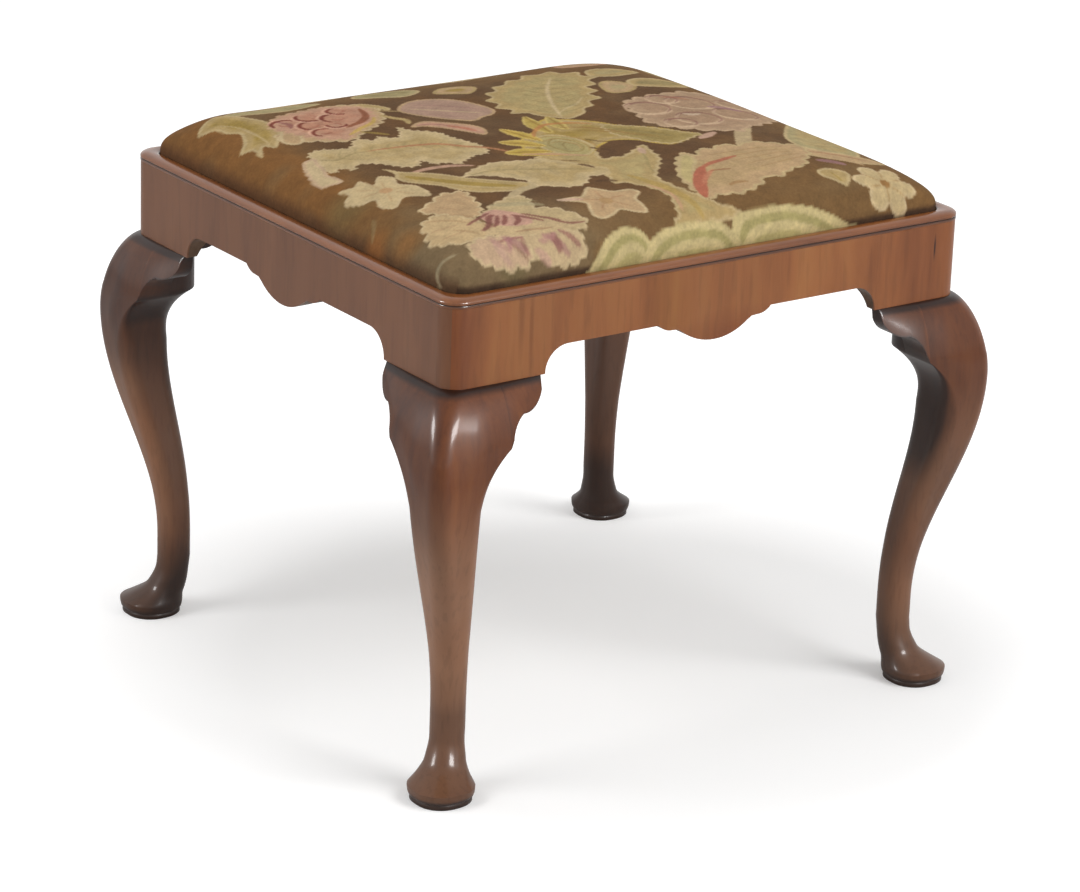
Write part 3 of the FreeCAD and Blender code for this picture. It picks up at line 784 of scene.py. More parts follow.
def make_webbing(material):
    """Bands along X and along Y, woven through each other."""
    places_y = band_places(frame_half_y - seat_rail_width)
    places_x = band_places(frame_half_x - seat_rail_width)
    for name, places, crossings, half_run, over in (("webbing_across", places_y, places_x, frame_half_x, 0),
                                                    ("webbing_front_to_back", places_x, places_y,
                                                     frame_half_y, 1)):
        half_length = half_run - web_tuck
        points, faces = join([band_shape(place, crossings, half_length, index % 2 == over)
                              for index, place in enumerate(places)])
        if over:
            points, faces = points[:, (1, 0, 2)], flipped(faces)
        piece = add_mesh("woven", name, points, faces, "drop_in_seat", "webbing", material)


def make_hessian(material):
    """Hessian stretched flat over the webbing."""
    x0, x1 = edge("hessian", 0, 0), edge("hessian", 1, 0)
    y0, y1 = edge("hessian", 0, 1), edge("hessian", 1, 1)
    count = 80
    x, y = np.meshgrid(np.linspace(x0, x1, count), np.linspace(y0, y1, count))
    points = [np.column_stack([x.ravel(), y.ravel(), np.full(x.size, z)])
              for z in (hessian_top, hessian_low + 0.1)]
    around = border(count, count)
    faces = grid_faces(count, count)
    faces += flipped(faces, x.size) + wall(around, around + x.size)
    piece = add_mesh("plain", "hessian", np.concatenate(points), faces, "drop_in_seat", "hessian", material)


# Needlework pattern: a flowering tree on a hillock, drawn on the unrolled cover in millimetres
ground = (112, 84, 52)
ground_warm = (122, 84, 46)
ground_grey = (116, 97, 70)
ground_deep = (84, 60, 40)
cream = (181, 159, 118)
pale = (190, 168, 130)
straw = (168, 144, 98)
sage = (160, 146, 106)
deep_sage = (138, 124, 84)
olive = (146, 122, 62)
yellow = (182, 154, 76)
tan = (176, 147, 110)
pink = (181, 141, 116)
mauve = (163, 133, 113)
deep_mauve = (142, 106, 98)
plum = (122, 74, 72)
coral = (164, 96, 74)
rust = (128, 78, 54)
hill_light = (188, 170, 122)
hill_dark = (158, 146, 96)
stitch = 1.4               # a form's edge fades over this width, and its line wanders by the wobble
wobble = 0.45
stains = ((-258, -122, 14, (146, 92, 46)), (-246, -156, 15, (140, 94, 50)), (-196, -240, 14, (104, 92, 62)),
          (-240, -60, 22, (110, 94, 60)), (-104, -244, 12, (134, 92, 48)))


def smooth_line(points, closed, steps=5):
    """Rounded line through given points."""
    points = np.array(points, float)
    if closed:
        padded = np.concatenate([points[-1:], points, points[:2]])
    else:
        padded = np.concatenate([points[:1], points, points[-1:]])
    t = np.linspace(0, 1, steps, endpoint=False)[:, None]
    runs = []
    for a, b, c, d in zip(padded[:-3], padded[1:-2], padded[2:-1], padded[3:]):
        runs.append(0.5 * (2 * b + (c - a) * t + (2 * a - 5 * b + 4 * c - d) * t * t
                           + (3 * b - 3 * c + d - a) * t ** 3))
    line = np.concatenate(runs)
    return line if closed else np.concatenate([line, points[-1:]])


def mottle(u, v, size, seed):
    """Soft random patches from -1 to 1."""
    lattice = np.random.default_rng(seed).uniform(-1, 1, (64, 64))
    x = u / size + 500
    y = v / size + 500
    i, j = np.floor(x).astype(int), np.floor(y).astype(int)
    p, q = swing(x - i), swing(y - j)
    low = lattice[i % 64, j % 64] * (1 - p) + lattice[(i + 1) % 64, j % 64] * p
    high = lattice[i % 64, (j + 1) % 64] * (1 - p) + lattice[(i + 1) % 64, (j + 1) % 64] * p
    return low * (1 - q) + high * q


def arc(centre, reach, start, step, count, stretch=1.0):
    """Points round a centre, from a starting angle in degrees; stretch is along V."""
    angles = np.radians(start + step * np.arange(count))
    return centre + reach * np.column_stack([np.cos(angles), stretch * np.sin(angles)])


def bowed(start, end, bow):
    """Three points from a start to an end, the middle one moved by a bow."""
    start, end = np.array(start), np.array(end)
    return [start, (start + end) / 2 + bow, end]


def distance_to_run(u, v, start, end):
    """Distances to a straight run, the shares along it of the nearest places, and its length."""
    (ax, ay), (bx, by) = start, end
    dx, dy = bx - ax, by - ay
    run = np.hypot(dx, dy)
    along = np.clip(((u - ax) * dx + (v - ay) * dy) / (run * run + 1e-9), 0, 1)
    return np.hypot(u - ax - along * dx, v - ay - along * dy), along, run


class Canvas:
    """Places on the unrolled cover and their colours."""

    def __init__(self, u, v):
        self.u = u + wobble * mottle(u, v, 4, 1)
        self.v = v + wobble * mottle(u, v, 4, 2)
        self.colour = np.zeros((len(u), 3))

    def near(self, points, margin):
        """Indices of the places near some points."""
        low, high = points.min(axis=0) - margin, points.max(axis=0) + margin
        return np.nonzero((self.u > low[0]) & (self.u < high[0]) & (self.v > low[1])
                          & (self.v < high[1]))[0]

    def blend(self, chosen, share, colour):
        """Lays a colour over the chosen places."""
        share = np.clip(share, 0, 1)[:, None]
        self.colour[chosen] = self.colour[chosen] * (1 - share) + np.array(colour) * share

    def shape(self, style, *numbers):
        """Closed form whose points follow its style as plain numbers, U and V in turn."""
        self.form(np.reshape(numbers, (-1, 2)), *style)

    def stroke(self, style, *numbers):
        """Line whose points follow its style as plain numbers, U and V in turn."""
        self.line(np.reshape(numbers, (-1, 2)), *style)

    def form(self, points, colour, edge=None, edge_width=3.0, deep=None, deep_from=7.0, frill=None):
        """Closed form with a rim of another colour, and a deeper colour well inside.

        The frill is a length along the outline and a height: scallops, or teeth where it is below nought.
        """
        line = smooth_line(points, True)
        chosen = self.near(line, 6)
        u, v = self.u[chosen], self.v[chosen]
        nearest = np.full(len(u), 1e9)
        place = np.zeros(len(u))
        inside = np.zeros(len(u), bool)
        travelled = 0.0
        for start, end in zip(line, np.roll(line, -1, axis=0)):
            away, along, run = distance_to_run(u, v, start, end)
            place = np.where(away < nearest, travelled + along * run, place)
            nearest = np.minimum(nearest, away)
            travelled += run
            (ax, ay), (bx, by) = start, end
            if by != ay:
                inside ^= ((ay > v) != (by > v)) & (u < ax + (v - ay) * (bx - ax) / (by - ay))
        depth = np.where(inside, nearest, -nearest)
        if frill:
            length, height = frill
            turns = max(3, round(travelled / length))
            uneven = 0.35 * np.sin(2 * np.pi * 3 * place / travelled)
            depth = depth + height * (np.abs(np.sin(np.pi * turns * place / travelled + uneven)) - 0.5)
        cover = np.clip(0.5 + depth / stitch, 0, 1)
        self.blend(chosen, cover, colour)
        if deep:
            share = part_way(depth, deep_from, deep_from + 5) * (0.6 + 0.4 * mottle(u, v, 9, 3))
            self.blend(chosen, share, deep)
        if edge:
            self.blend(chosen, cover * np.clip((edge_width - depth) / 1.6 + 0.5, 0, 1), edge)

    def line(self, points, width, colour, share=1.0, blunt=False):
        """Line that tapers to both ends, or keeps its width where it is blunt."""
        line = smooth_line(points, False)
        chosen = self.near(line, width + 2)
        u, v = self.u[chosen], self.v[chosen]
        cover = np.zeros(len(u))
        runs = len(line) - 1
        for index in range(runs):
            away, along, _ = distance_to_run(u, v, line[index], line[index + 1])
            place = (index + along) / runs
            half = width / 2 * (1.0 if blunt else np.sqrt(np.clip(4 * place * (1 - place), 0, 1)))
            cover = np.maximum(cover, np.clip(0.5 + (half - away) / stitch, 0, 1))
        self.blend(chosen, share * cover, colour)

    def spokes(self, centre, tips, shares, *style):
        """Strokes from a centre towards some tips."""
        for tip in tips:
            self.line([centre + share * (tip - centre) for share in shares], *style)

    def leaf_veins(self, spine, length, spacing, colour, share):
        """Side veins both ways from a spine."""
        line = smooth_line(spine, False)
        steps = np.hypot(*np.diff(line, axis=0).T)
        places = np.concatenate([[0], np.cumsum(steps)])

        def at(place):
            return np.array([np.interp(place, places, line[:, 0]), np.interp(place, places, line[:, 1])])

        for place in np.arange(spacing, places[-1], spacing):
            root = at(place)
            ahead = at(place + 1) - root
            ahead /= np.hypot(*ahead) + 1e-9
            shorter = length * (1 - 0.5 * place / places[-1])
            for side in (-1, 1):
                across = side * np.array([-ahead[1], ahead[0]])
                self.line([root, root + shorter * (0.5 * across + 0.25 * ahead),
                           root + shorter * (across + 0.7 * ahead)], 2.0, colour, share)


def lay_ground(canvas):
    """Brown ground, warmer at the left, greyer at the front left corner, darker towards the corners, with
    small stains, and painted shade along the left and front edges where the cushion turns under.
    """
    u, v = canvas.u, canvas.v
    canvas.colour[:] = ground
    everywhere = np.arange(len(u))
    layers = [(part_way(u, -195, -220) * part_way(v, -120, -60), ground_warm),
              (0.9 * part_way(v, -120, -180) * part_way(u, -20, -140), ground_grey),
              (0.75 * part_way(np.abs(u), 215, 175) * part_way(np.abs(v), 190, 150), ground_deep),
              (0.35 * mottle(u, v, 30, 4), ground_warm),
              (0.35 * mottle(u, v, 24, 5), ground_grey),
              # Painted shade along the left edge and a dark painted shadow line along the front edge by the
              # moulding
              (0.6 * part_way(u, -251, -260), (74, 48, 32)),
              (0.85 * part_way(v, -244.5, -248.5), (60, 42, 30))]
    layers += [(0.6 * part_way(np.hypot(u - x, v - y) / reach, 1.4, 0.4), tint)
               for x, y, reach, tint in stains]
    for share, colour in layers:
        canvas.blend(everywhere, share, colour)


def draw_back(canvas):
    """Leaves and buds along the back and the right, mostly out of the photograph's sight."""
    canvas.shape((cream, pale, 2.5, sage), -172, 216, -150, 207, -120, 203, -92, 206, -70, 212, -92, 222,
          -128, 228, -155, 226)
    canvas.shape((sage, cream, 3, deep_sage), -78, 186, -60, 174, -40, 164, -24, 168, -12, 180, -20, 196,
          -44, 206, -66, 204)
    canvas.shape((tan, straw, 3, olive), -10, 158, 2, 149, 16, 142, 28, 149, 36, 162, 25, 174, 8, 176,
          -4, 168)
    canvas.shape((cream, pale, 3), 20, 208, 44, 200, 70, 204, 88, 214, 70, 226, 40, 230, 18, 222)
    canvas.shape((tan, pink, 4, mauve), 150, 190, 170, 184, 196, 190, 214, 204, 200, 218, 172, 220,
          154, 208)
    canvas.shape((tan, straw, 3, sage), 130, 82, 144, 78, 158, 84, 168, 98, 162, 114, 149, 121, 138, 113,
          131, 98)
    canvas.shape((straw, cream, 3, deep_sage), 166, 96, 182, 88, 204, 84, 222, 90, 232, 102, 222, 116,
          202, 123, 182, 121, 168, 112)
    canvas.shape((straw, cream, 3, sage), 150, 142, 168, 134, 190, 138, 210, 150, 198, 163, 174, 168,
          156, 160)
    canvas.shape((sage, cream, 3, deep_sage), 228, 128, 240, 140, 250, 160, 246, 182, 234, 190, 226, 172,
          222, 148)
    canvas.stroke((6, straw), 228, 190, 236, 206, 232, 224, 218, 234)


def draw_peony(canvas):
    """Pink peony at the back left with its leaves."""
    canvas.shape((sage, cream, 3), -208, 192, -190, 187, -170, 181, -150, 177, -130, 180, -112, 186,
          -122, 198, -150, 204, -182, 206, -202, 202)
    canvas.shape((straw, cream, 3, olive), -240, 184, -216, 204, -204, 200, -194, 182, -186, 156, -192, 124,
          -204, 106, -215, 93, -221, 104, -233, 87, -231, 106, -239, 113, -228, 126, -219, 146, -226, 158,
          -228, 172)
    canvas.shape((tan, pale, 2.6, None, 7, (14, 4.4)), -204, 112, -196, 92, -182, 78, -164, 64, -150, 66,
          -136, 78, -120, 86, -104, 98, -94, 112, -86, 132, -86, 150, -96, 164, -120, 168, -160, 140,
          -190, 124)
    canvas.stroke((3, pale, 0.6), -215, 104, -211, 130, -212, 160, -222, 180)
    canvas.shape((tan, pale, 3), -206, 96, -199, 84, -190, 88, -184, 104, -188, 122, -200, 113)
    canvas.shape((straw, cream, 2), -96, 152, -86, 142, -80, 128, -74, 132, -78, 148, -88, 162)
    canvas.stroke((7, straw), -96, 118, -90, 104, -84, 92, -88, 80)
    canvas.stroke((5, olive, 0.8), -140, 82, -128, 68, -122, 60)
    canvas.shape((pink, (182, 150, 116), 3, (170, 122, 98), 10, (12, 4.2)), -192, 122, -187, 102, -181, 86,
          -170, 73, -158, 66, -147, 75, -137, 84, -124, 91, -111, 100, -101, 112, -93, 128, -90, 144,
          -97, 158, -110, 167, -126, 171, -143, 169, -158, 167, -173, 163, -185, 152, -194, 138)
    canvas.stroke((5, yellow, 0.7), -152, 76, -134, 88, -114, 99, -103, 114)
    canvas.stroke((7, rust, 0.9), -142, 98, -122, 106, -106, 122, -98, 146)
    for centre, turn, size in (((-178, 138), 0, 13), ((-162, 120), 60, 12), ((-150, 144), 120, 13),
                               ((-132, 128), 30, 14), ((-118, 148), 80, 11), ((-164, 96), 40, 11),
                               ((-144, 110), 150, 9)):
        for reach, start, step, count, *style in ((1, 0, 48, 5, 4.6, (114, 58, 46), 0.95),
                                                  (1.25, 20, 44, 4, 3.4, (202, 160, 134), 0.85),
                                                  (0.45, 150, 50, 4, 2.6, (150, 92, 74), 0.6)):
            canvas.line(arc(centre, reach * size, turn + start, step, count), *style)
    canvas.stroke((5, plum, 0.6), -180, 150, -176, 136, -181, 124)


def draw_tulip(canvas):
    """Mauve tulip and its curled bud behind the middle."""
    canvas.shape((mauve, tan, 2.6, (158, 128, 110), 8), -73, 118, -67, 130, -56, 140, -40, 146, -23, 142,
          -10, 133, -2, 119, 3, 100, 4, 84, -4, 73, -18, 68, -32, 62, -44, 70, -56, 84, -66, 98)
    canvas.stroke((2.4, pale, 0.75), -62, 122, -44, 108, -26, 92, -10, 80)
    canvas.stroke((2.2, deep_mauve, 0.6), -52, 132, -34, 120, -16, 104, -4, 88)
    canvas.stroke((2.2, deep_mauve, 0.5), -58, 100, -44, 86, -28, 76)
    canvas.shape((pink, tan, 2.5), -92, 70, -82, 79, -70, 80, -59, 71, -49, 61, -41, 50, -38, 38, -44, 24,
          -50, 22, -56, 32, -63, 45, -71, 57, -81, 67)
    canvas.stroke((6, coral, 0.6), -62, 60, -54, 48, -48, 34)
    canvas.stroke((2.5, plum, 0.5), -84, 72, -70, 70, -60, 58)
    canvas.stroke((4, straw, 0.8), -72, 118, -84, 128, -92, 130)


def draw_left_leaf(canvas):
    """Great curling leaf at the left."""
    canvas.shape((cream, pale, 2.5, straw, 9, (8, -3.0)), -209, 52, -200, 60, -190, 57, -182, 51, -170, 47,
          -160, 60, -150, 62, -142, 53, -133, 60, -122, 49, -112, 60, -103, 76, -97, 62, -88, 55, -80, 44,
          -78, 28, -74, 12, -70, -8, -78, -27, -94, -30, -108, -38, -119, -44, -127, -35, -137, -34,
          -141, -20, -150, -30, -162, -28, -170, -15, -178, -3, -190, 3, -198, -6, -205, 6, -213, 2,
          -217, 14, -212, 30)
    canvas.leaf_veins([(-206, 26), (-180, 28), (-150, 26), (-110, 18), (-84, 0)], 18, 15, deep_sage, 0.4)
    canvas.shape((pale, (186, 158, 128), 3), -207, 44, -217, 45, -224, 36, -230, 20, -235, 3, -236, -11,
          -229, -17, -219, -20, -218, -8, -219, 4, -214, 16, -211, 32)
    canvas.stroke((5, (166, 116, 82), 0.85), -165, 29, -140, 25, -118, 21, -100, 15, -84, -2, -70, -14,
          -60, -32, -52, -46)
    canvas.stroke((2.5, deep_sage, 0.6), -206, 38, -196, 26, -180, 30, -165, 29)


def draw_small_leaves(canvas):
    """Striped leaf, star flowers, and the stems at the front left."""
    canvas.stroke((7, (174, 138, 114)), -170, -44, -148, -42, -128, -45, -110, -54)
    canvas.shape((straw, cream, 3), -180, -20, -172, -36, -160, -47, -148, -60, -139, -75, -127, -90,
          -113, -103, -99, -117, -103, -128, -118, -131, -135, -126, -152, -117, -161, -103, -166, -88,
          -174, -76, -183, -62, -185, -48, -179, -36)
    canvas.stroke((11, olive, 0.85), -176, -48, -166, -66, -150, -88, -130, -108, -112, -120)
    canvas.stroke((4, cream, 0.6), -172, -62, -160, -84, -142, -106, -122, -120)
    tips = np.array([(-232, -33), (-210, -30), (-193, -33), (-181, -76), (-186, -102), (-221, -103),
                     (-240, -58)])
    canvas.form([tips[0], (-220, -37), tips[1], (-206, -46), tips[2], (-185, -44), (-190, -60), tips[3],
                 tips[4], (-203, -90), tips[5], (-228, -90), (-223, -75), (-233, -72), tips[6],
                 (-236, -50), (-231, -47)], (186, 164, 124), pale, 2.5)
    heart = np.array((-206, -65))
    canvas.spokes(heart, tips, (0.2, 0.4, 0.65), 1.8, (164, 132, 94), 0.5)
    canvas.form(arc(heart, 6, 0, 60, 6), (180, 144, 104))
    canvas.shape((tan, pale, 2.6), -104, -166, -90, -164, -80, -165, -72, -158, -62, -149, -54, -158,
          -47, -165, -31, -167, -27, -176, -38, -186, -39, -197, -44, -210, -54, -207, -64, -200, -74, -205,
          -88, -209, -93, -201, -89, -189, -86, -178)
    canvas.stroke((5, (190, 156, 140), 0.7), -104, -166, -92, -168, -82, -172)
    for end in ((-62, -160), (-44, -176), (-52, -196), (-80, -196), (-84, -172)):
        canvas.line(bowed((-66, -181), end, (0, 1)), 1.8, rust, 0.3)
    canvas.shape(((164, 132, 92),), -70, -178, -64, -175, -59, -181, -64, -187, -70, -185)
    canvas.stroke((9, (172, 152, 116), 1, True), -142, -152, -130, -140, -117, -131, -100, -127)
    canvas.stroke((4, (150, 136, 106), 0.8), -264, -224, -257, -214, -246, -210, -232, -211)
    canvas.stroke((4, (136, 118, 82), 0.5), -256, -116, -246, -108, -240, -98)


def draw_great_flower(canvas):
    """Large cream and purple flower at the front left."""
    for tint, *numbers in ((tan, -213, -128, -206, -120, -197, -116, -189, -111, -178, -104, -168, -107,
                            -159, -109, -161, -124, -165, -140, -171, -154, -182, -166, -196, -164,
                            -204, -146),
                           ((184, 158, 118), -206, -142, -220, -144, -229, -153, -232, -163, -238, -176,
                            -237, -189, -227, -196, -217, -202, -204, -205, -190, -196, -186, -176,
                            -194, -156),
                           ((178, 156, 116), -176, -166, -164, -154, -150, -147, -134, -141, -123, -147,
                            -126, -160, -129, -171, -117, -177, -108, -189, -103, -203, -108, -213,
                            -120, -218, -140, -212, -160, -200, -176, -184),
                           ((184, 155, 125), -202, -200, -214, -202, -224, -213, -223, -230, -211, -236,
                            -200, -240, -188, -239, -178, -238, -168, -226, -168, -212, -184, -204),
                           ((182, 158, 122), -172, -214, -172, -230, -162, -238, -150, -243, -138, -243,
                            -126, -239, -120, -230, -122, -218, -138, -213, -156, -210)):
        canvas.shape((tint, pale, 2.4, None, 7, (13, 3.6)), *numbers)
    canvas.stroke((3, (150, 120, 86), 0.55), -222, -146, -206, -158, -196, -172)
    canvas.stroke((3, (150, 120, 86), 0.45), -214, -176, -206, -184, -200, -194)
    for start, end in (((-200, -124), (-186, -148)), ((-184, -116), (-176, -140)),
                       ((-168, -112), (-168, -136)), ((-230, -166), (-206, -170)),
                       ((-228, -184), (-206, -184))):
        canvas.line(bowed(start, end, (1, 0)), 2.4, (164, 132, 98), 0.5)
    canvas.shape(((182, 158, 120),), -196, -196, -176, -182, -160, -172, -146, -184, -128, -196, -108, -208,
          -134, -214, -160, -212, -184, -206)
    canvas.shape(((184, 144, 124),), -182, -168, -166, -160, -156, -168, -146, -184, -150, -196, -166, -196,
          -180, -186)
    canvas.stroke((9, (180, 140, 126), 0.6), -166, -228, -160, -240)
    canvas.stroke((7, (182, 146, 130), 0.55), -196, -206, -200, -224, -196, -236)
    canvas.stroke((4, (140, 104, 84), 0.5), -184, -208, -184, -222, -178, -236)
    canvas.stroke((3, (146, 112, 84), 0.6), -172, -204, -156, -206, -138, -208)
    canvas.stroke((2.4, (150, 140, 100), 0.6), -140, -146, -130, -154, -120, -160)
    canvas.stroke((9, (158, 146, 112), 0.6), -160, -150, -148, -156, -134, -160, -120, -170)
    canvas.stroke((2.2, (152, 122, 88), 0.6), -204, -146, -192, -156, -186, -172, -190, -194)
    for width, *numbers in ((3.4, -200, -176, -186, -170, -170, -164),
                            (5.4, -196, -192, -186, -186, -176, -172, -170, -170),
                            (4.4, -184, -190, -176, -184, -168, -172),
                            (4.4, -174, -190, -167, -182, -162, -174),
                            (4.9, -166, -194, -158, -188, -156, -180),
                            (3.8, -158, -176, -148, -186, -138, -196),
                            (3.4, -148, -178, -136, -190, -124, -200),
                            (3.0, -132, -196, -120, -206, -106, -208)):
        canvas.stroke((width, (120, 74, 66), 0.82), *numbers)
    canvas.stroke((3.5, plum, 0.55), -196, -212, -180, -212, -170, -214)
    for width, tint, *numbers in ((6, (168, 128, 116), -199, -206, -196, -216, -191, -227),
                                  (8, (156, 112, 108), -187, -208, -181, -218, -177, -229),
                                  (8, (146, 102, 100), -153, -214, -145, -224, -139, -236),
                                  (6, plum, -136, -213, -130, -222, -126, -232)):
        canvas.stroke((width, tint, 0.55), *numbers)
    canvas.stroke((5, (150, 104, 104), 0.6), -190, -224, -186, -216, -182, -210)
    canvas.stroke((4.5, plum, 0.4), -176, -232, -176, -222, -172, -214)
    canvas.stroke((8, plum, 0.55), -146, -232, -145, -224, -144, -216)
    canvas.stroke((6, (168, 124, 116), 0.6), -160, -222, -152, -220, -140, -216)


def draw_middle(canvas):
    """Trunk, its leaves and the flower in the middle."""
    canvas.shape((cream, pale, 2.6, straw, 9, (12, -2.4)), -137, -76, -122, -64, -106, -57, -92, -53,
          -78, -56, -64, -60, -48, -62, -34, -74, -18, -88, -4, -102, 4, -118, -4, -128, -28, -128,
          -42, -126, -50, -135, -62, -143, -75, -142, -88, -134, -99, -125, -98, -112, -104, -100,
          -114, -88, -126, -80)
    canvas.stroke((3, deep_sage, 0.55), -130, -76, -104, -74, -78, -84, -50, -98, -22, -112)
    canvas.leaf_veins([(-118, -74), (-84, -82), (-50, -98)], 20, 15, deep_sage, 0.3)
    canvas.shape((straw, cream, 3, (166, 148, 102), 9, (14, -2.4)), -52, -60, -36, -56, -22, -50, -12, -45,
          0, -50, 7, -60, 4, -74, -2, -86, 9, -88, 20, -88, 34, -80, 54, -69, 50, -88, 45, -106, 36, -120,
          24, -133, 15, -144, 8, -156, 10, -172, 14, -186, 20, -200, 27, -214, 42, -230, -26, -230,
          -20, -218, -14, -205, -9, -192, -11, -178, -17, -165, -27, -152, -36, -150, -28, -128, -20, -110)
    canvas.stroke((7, (186, 154, 134), 0.8), 46, -76, 42, -84, 38, -92)
    canvas.stroke((9, (166, 138, 78), 0.7), 2, -226, 4, -200, 0, -176, -6, -156, -12, -136)
    canvas.stroke((4, (184, 144, 112), 0.8), -12, -216, -5, -196, -6, -178, -12, -164)
    canvas.stroke((2.6, deep_sage, 0.6), 14, -140, 20, -124, 30, -108, 38, -90)
    canvas.stroke((5, ground_deep, 0.8), -30, -92, -26, -98, -24, -106)
    canvas.stroke((3, ground_deep, 0.6), -38, -74, -30, -80, -24, -84)
    canvas.stroke((6, ground_deep, 0.7), -46, -140, -38, -140, -28, -146)
    canvas.shape((straw, yellow, 2.4, olive, 9), 20, 36, 34, 32, 50, 22, 62, 8, 72, -8, 86, -20, 100, -34,
          108, -48, 118, -64, 104, -72, 90, -78, 76, -80, 64, -68, 56, -54, 40, -46, 24, -52, 10, -62,
          -4, -72, -22, -66, -44, -56, -62, -44, -50, -36, -40, -22, -28, -4, -8, 8, 6, 20)
    canvas.shape(((154, 134, 84), cream, 2.5, (136, 116, 68), 8, (10, -2.6)), 58, 0, 74, -10, 88, -22,
          101, -38, 112, -54, 121, -66, 107, -72, 91, -78, 77, -79, 66, -67, 58, -50, 50, -28)
    canvas.stroke((2.6, deep_sage, 0.6), 56, -6, 74, -32, 94, -60)
    canvas.shape(((164, 148, 100), cream, 2.4), -19, -12, -6, -4, 8, -11, 15, -28, 15, -48, 8, -62, -5, -72,
          -19, -68, -27, -55, -29, -38, -26, -22)
    canvas.shape(((156, 142, 96), (146, 126, 78), 1.6), -12, -22, -2, -16, 6, -28, 7, -46, 0, -58, -12, -60,
          -19, -46, -19, -32)
    canvas.stroke((2.2, (184, 166, 120), 0.7), -14, -30, -6, -22, 3, -30, 4, -46, -2, -54)
    canvas.stroke((2.0, (132, 112, 70), 0.7), -12, -50, -8, -38, -2, -32, 2, -40)
    canvas.stroke((5, ground_deep, 0.75), 8, -54, 16, -66, 20, -78)
    canvas.stroke((3, ground_deep, 0.6), 20, -30, 28, -44, 40, -48)
    for tip, left, right, base, tint in (((-28, 30), (-30, 6), (-14, 8), (-16, -20), yellow),
                                         ((14, 53), (-2, 26), (16, 28), (6, -4), (170, 146, 78)),
                                         ((32, 44), (18, 22), (34, 22), (24, 0), (166, 146, 86)),
                                         ((-52, -4), (-46, -20), (-30, -8), (-22, -34), (186, 158, 82)),
                                         ((-66, -34), (-58, -46), (-44, -30), (-26, -50), yellow)):
        canvas.form([tip, left, base, right], tint, (190, 166, 100), 1.8, olive, 5)
        canvas.line([tip, base], 2.4, (132, 100, 50), 0.6)
    canvas.stroke((5, (172, 118, 72), 0.8), -16, -6, -4, 10, 14, 22, 36, 18, 54, 6)
    for reach in (12, 19.2, 26.4):
        canvas.line(arc((-8, -42), reach, -60, 30, 7, 1.25), 2.2, (150, 112, 64), 0.45)
    for x, y in ((44, -14), (58, -26), (70, -42)):
        canvas.line([(x - 16, y + 10), (x, y), (x + 12, y - 14)], 2.4, (142, 108, 62), 0.5)
    canvas.stroke((6, (182, 140, 108), 0.7), -56, -44, -40, -52, -24, -62, -8, -74)
    canvas.stroke((3, (140, 104, 62), 0.6), 20, 10, 40, 0, 56, -18, 64, -36)


def draw_serrated_leaf(canvas):
    """Toothed leaf at the back."""
    canvas.shape((straw, cream, 2.6, (164, 147, 102), 8), 46, 28, 36, 38, 27, 50, 24, 60, 10, 66, 17, 76,
          8, 88, 18, 98, 14, 112, 26, 120, 28, 134, 42, 138, 48, 152, 62, 154, 74, 168, 88, 166, 100, 180,
          114, 174, 130, 180, 134, 166, 150, 162, 144, 148, 156, 138, 140, 130, 136, 114, 122, 110, 124, 94,
          110, 88, 112, 72, 96, 68, 90, 54, 78, 50, 70, 38, 58, 32)
    spine = [(42, 34), (54, 62), (70, 94), (92, 128), (114, 154)]
    canvas.leaf_veins(spine, 30, 16, deep_sage, 0.5)
    canvas.line(spine, 4, pale, 0.8)
    canvas.stroke((2.6, pale, 0.6), 40, 40, 60, 56, 80, 66, 98, 82)


def draw_rose(canvas):
    """Mauve rose at the right on its stem."""
    canvas.stroke((15, (174, 152, 116), 1, True), 134, -108, 143, -95, 154, -80, 168, -62)
    canvas.stroke((9, (180, 146, 124)), 110, -77, 121, -72, 134, -66)
    canvas.shape(((166, 138, 110), (180, 152, 122), 4, (156, 126, 100), 12, (18, 4.6)), 118, 47, 112, 33,
          110, 18, 104, 4, 100, -12, 104, -26, 111, -40, 122, -50, 132, -60, 145, -65, 160, -72, 172, -63,
          186, -59, 200, -53, 213, -46, 227, -34, 239, -18, 245, 0, 247, 20, 241, 40, 229, 56, 213, 63,
          197, 67, 180, 63, 162, 62, 145, 59, 130, 56)
    for centre, size in (((128, 24), 20), ((150, -22), 20), ((176, 26), 22), ((194, -18), 20),
                         ((220, 16), 18), ((158, 44), 14), ((126, -28), 14)):
        for turn, tint, width in ((20, (126, 90, 78), 4.4), (200, (196, 168, 138), 5.6),
                                  (110, (192, 164, 134), 3.8), (290, (138, 102, 86), 3.0)):
            canvas.line(arc(centre, size, turn, 36, 5), width, tint, 0.75)
    canvas.stroke((6, (196, 172, 148), 0.8), 146, -4, 152, -10, 160, -10)
    canvas.stroke((10, (150, 112, 116), 0.6), 184, 10, 198, 4, 208, -8)
    canvas.stroke((5, coral, 0.35), 160, 52, 174, 46, 182, 34)


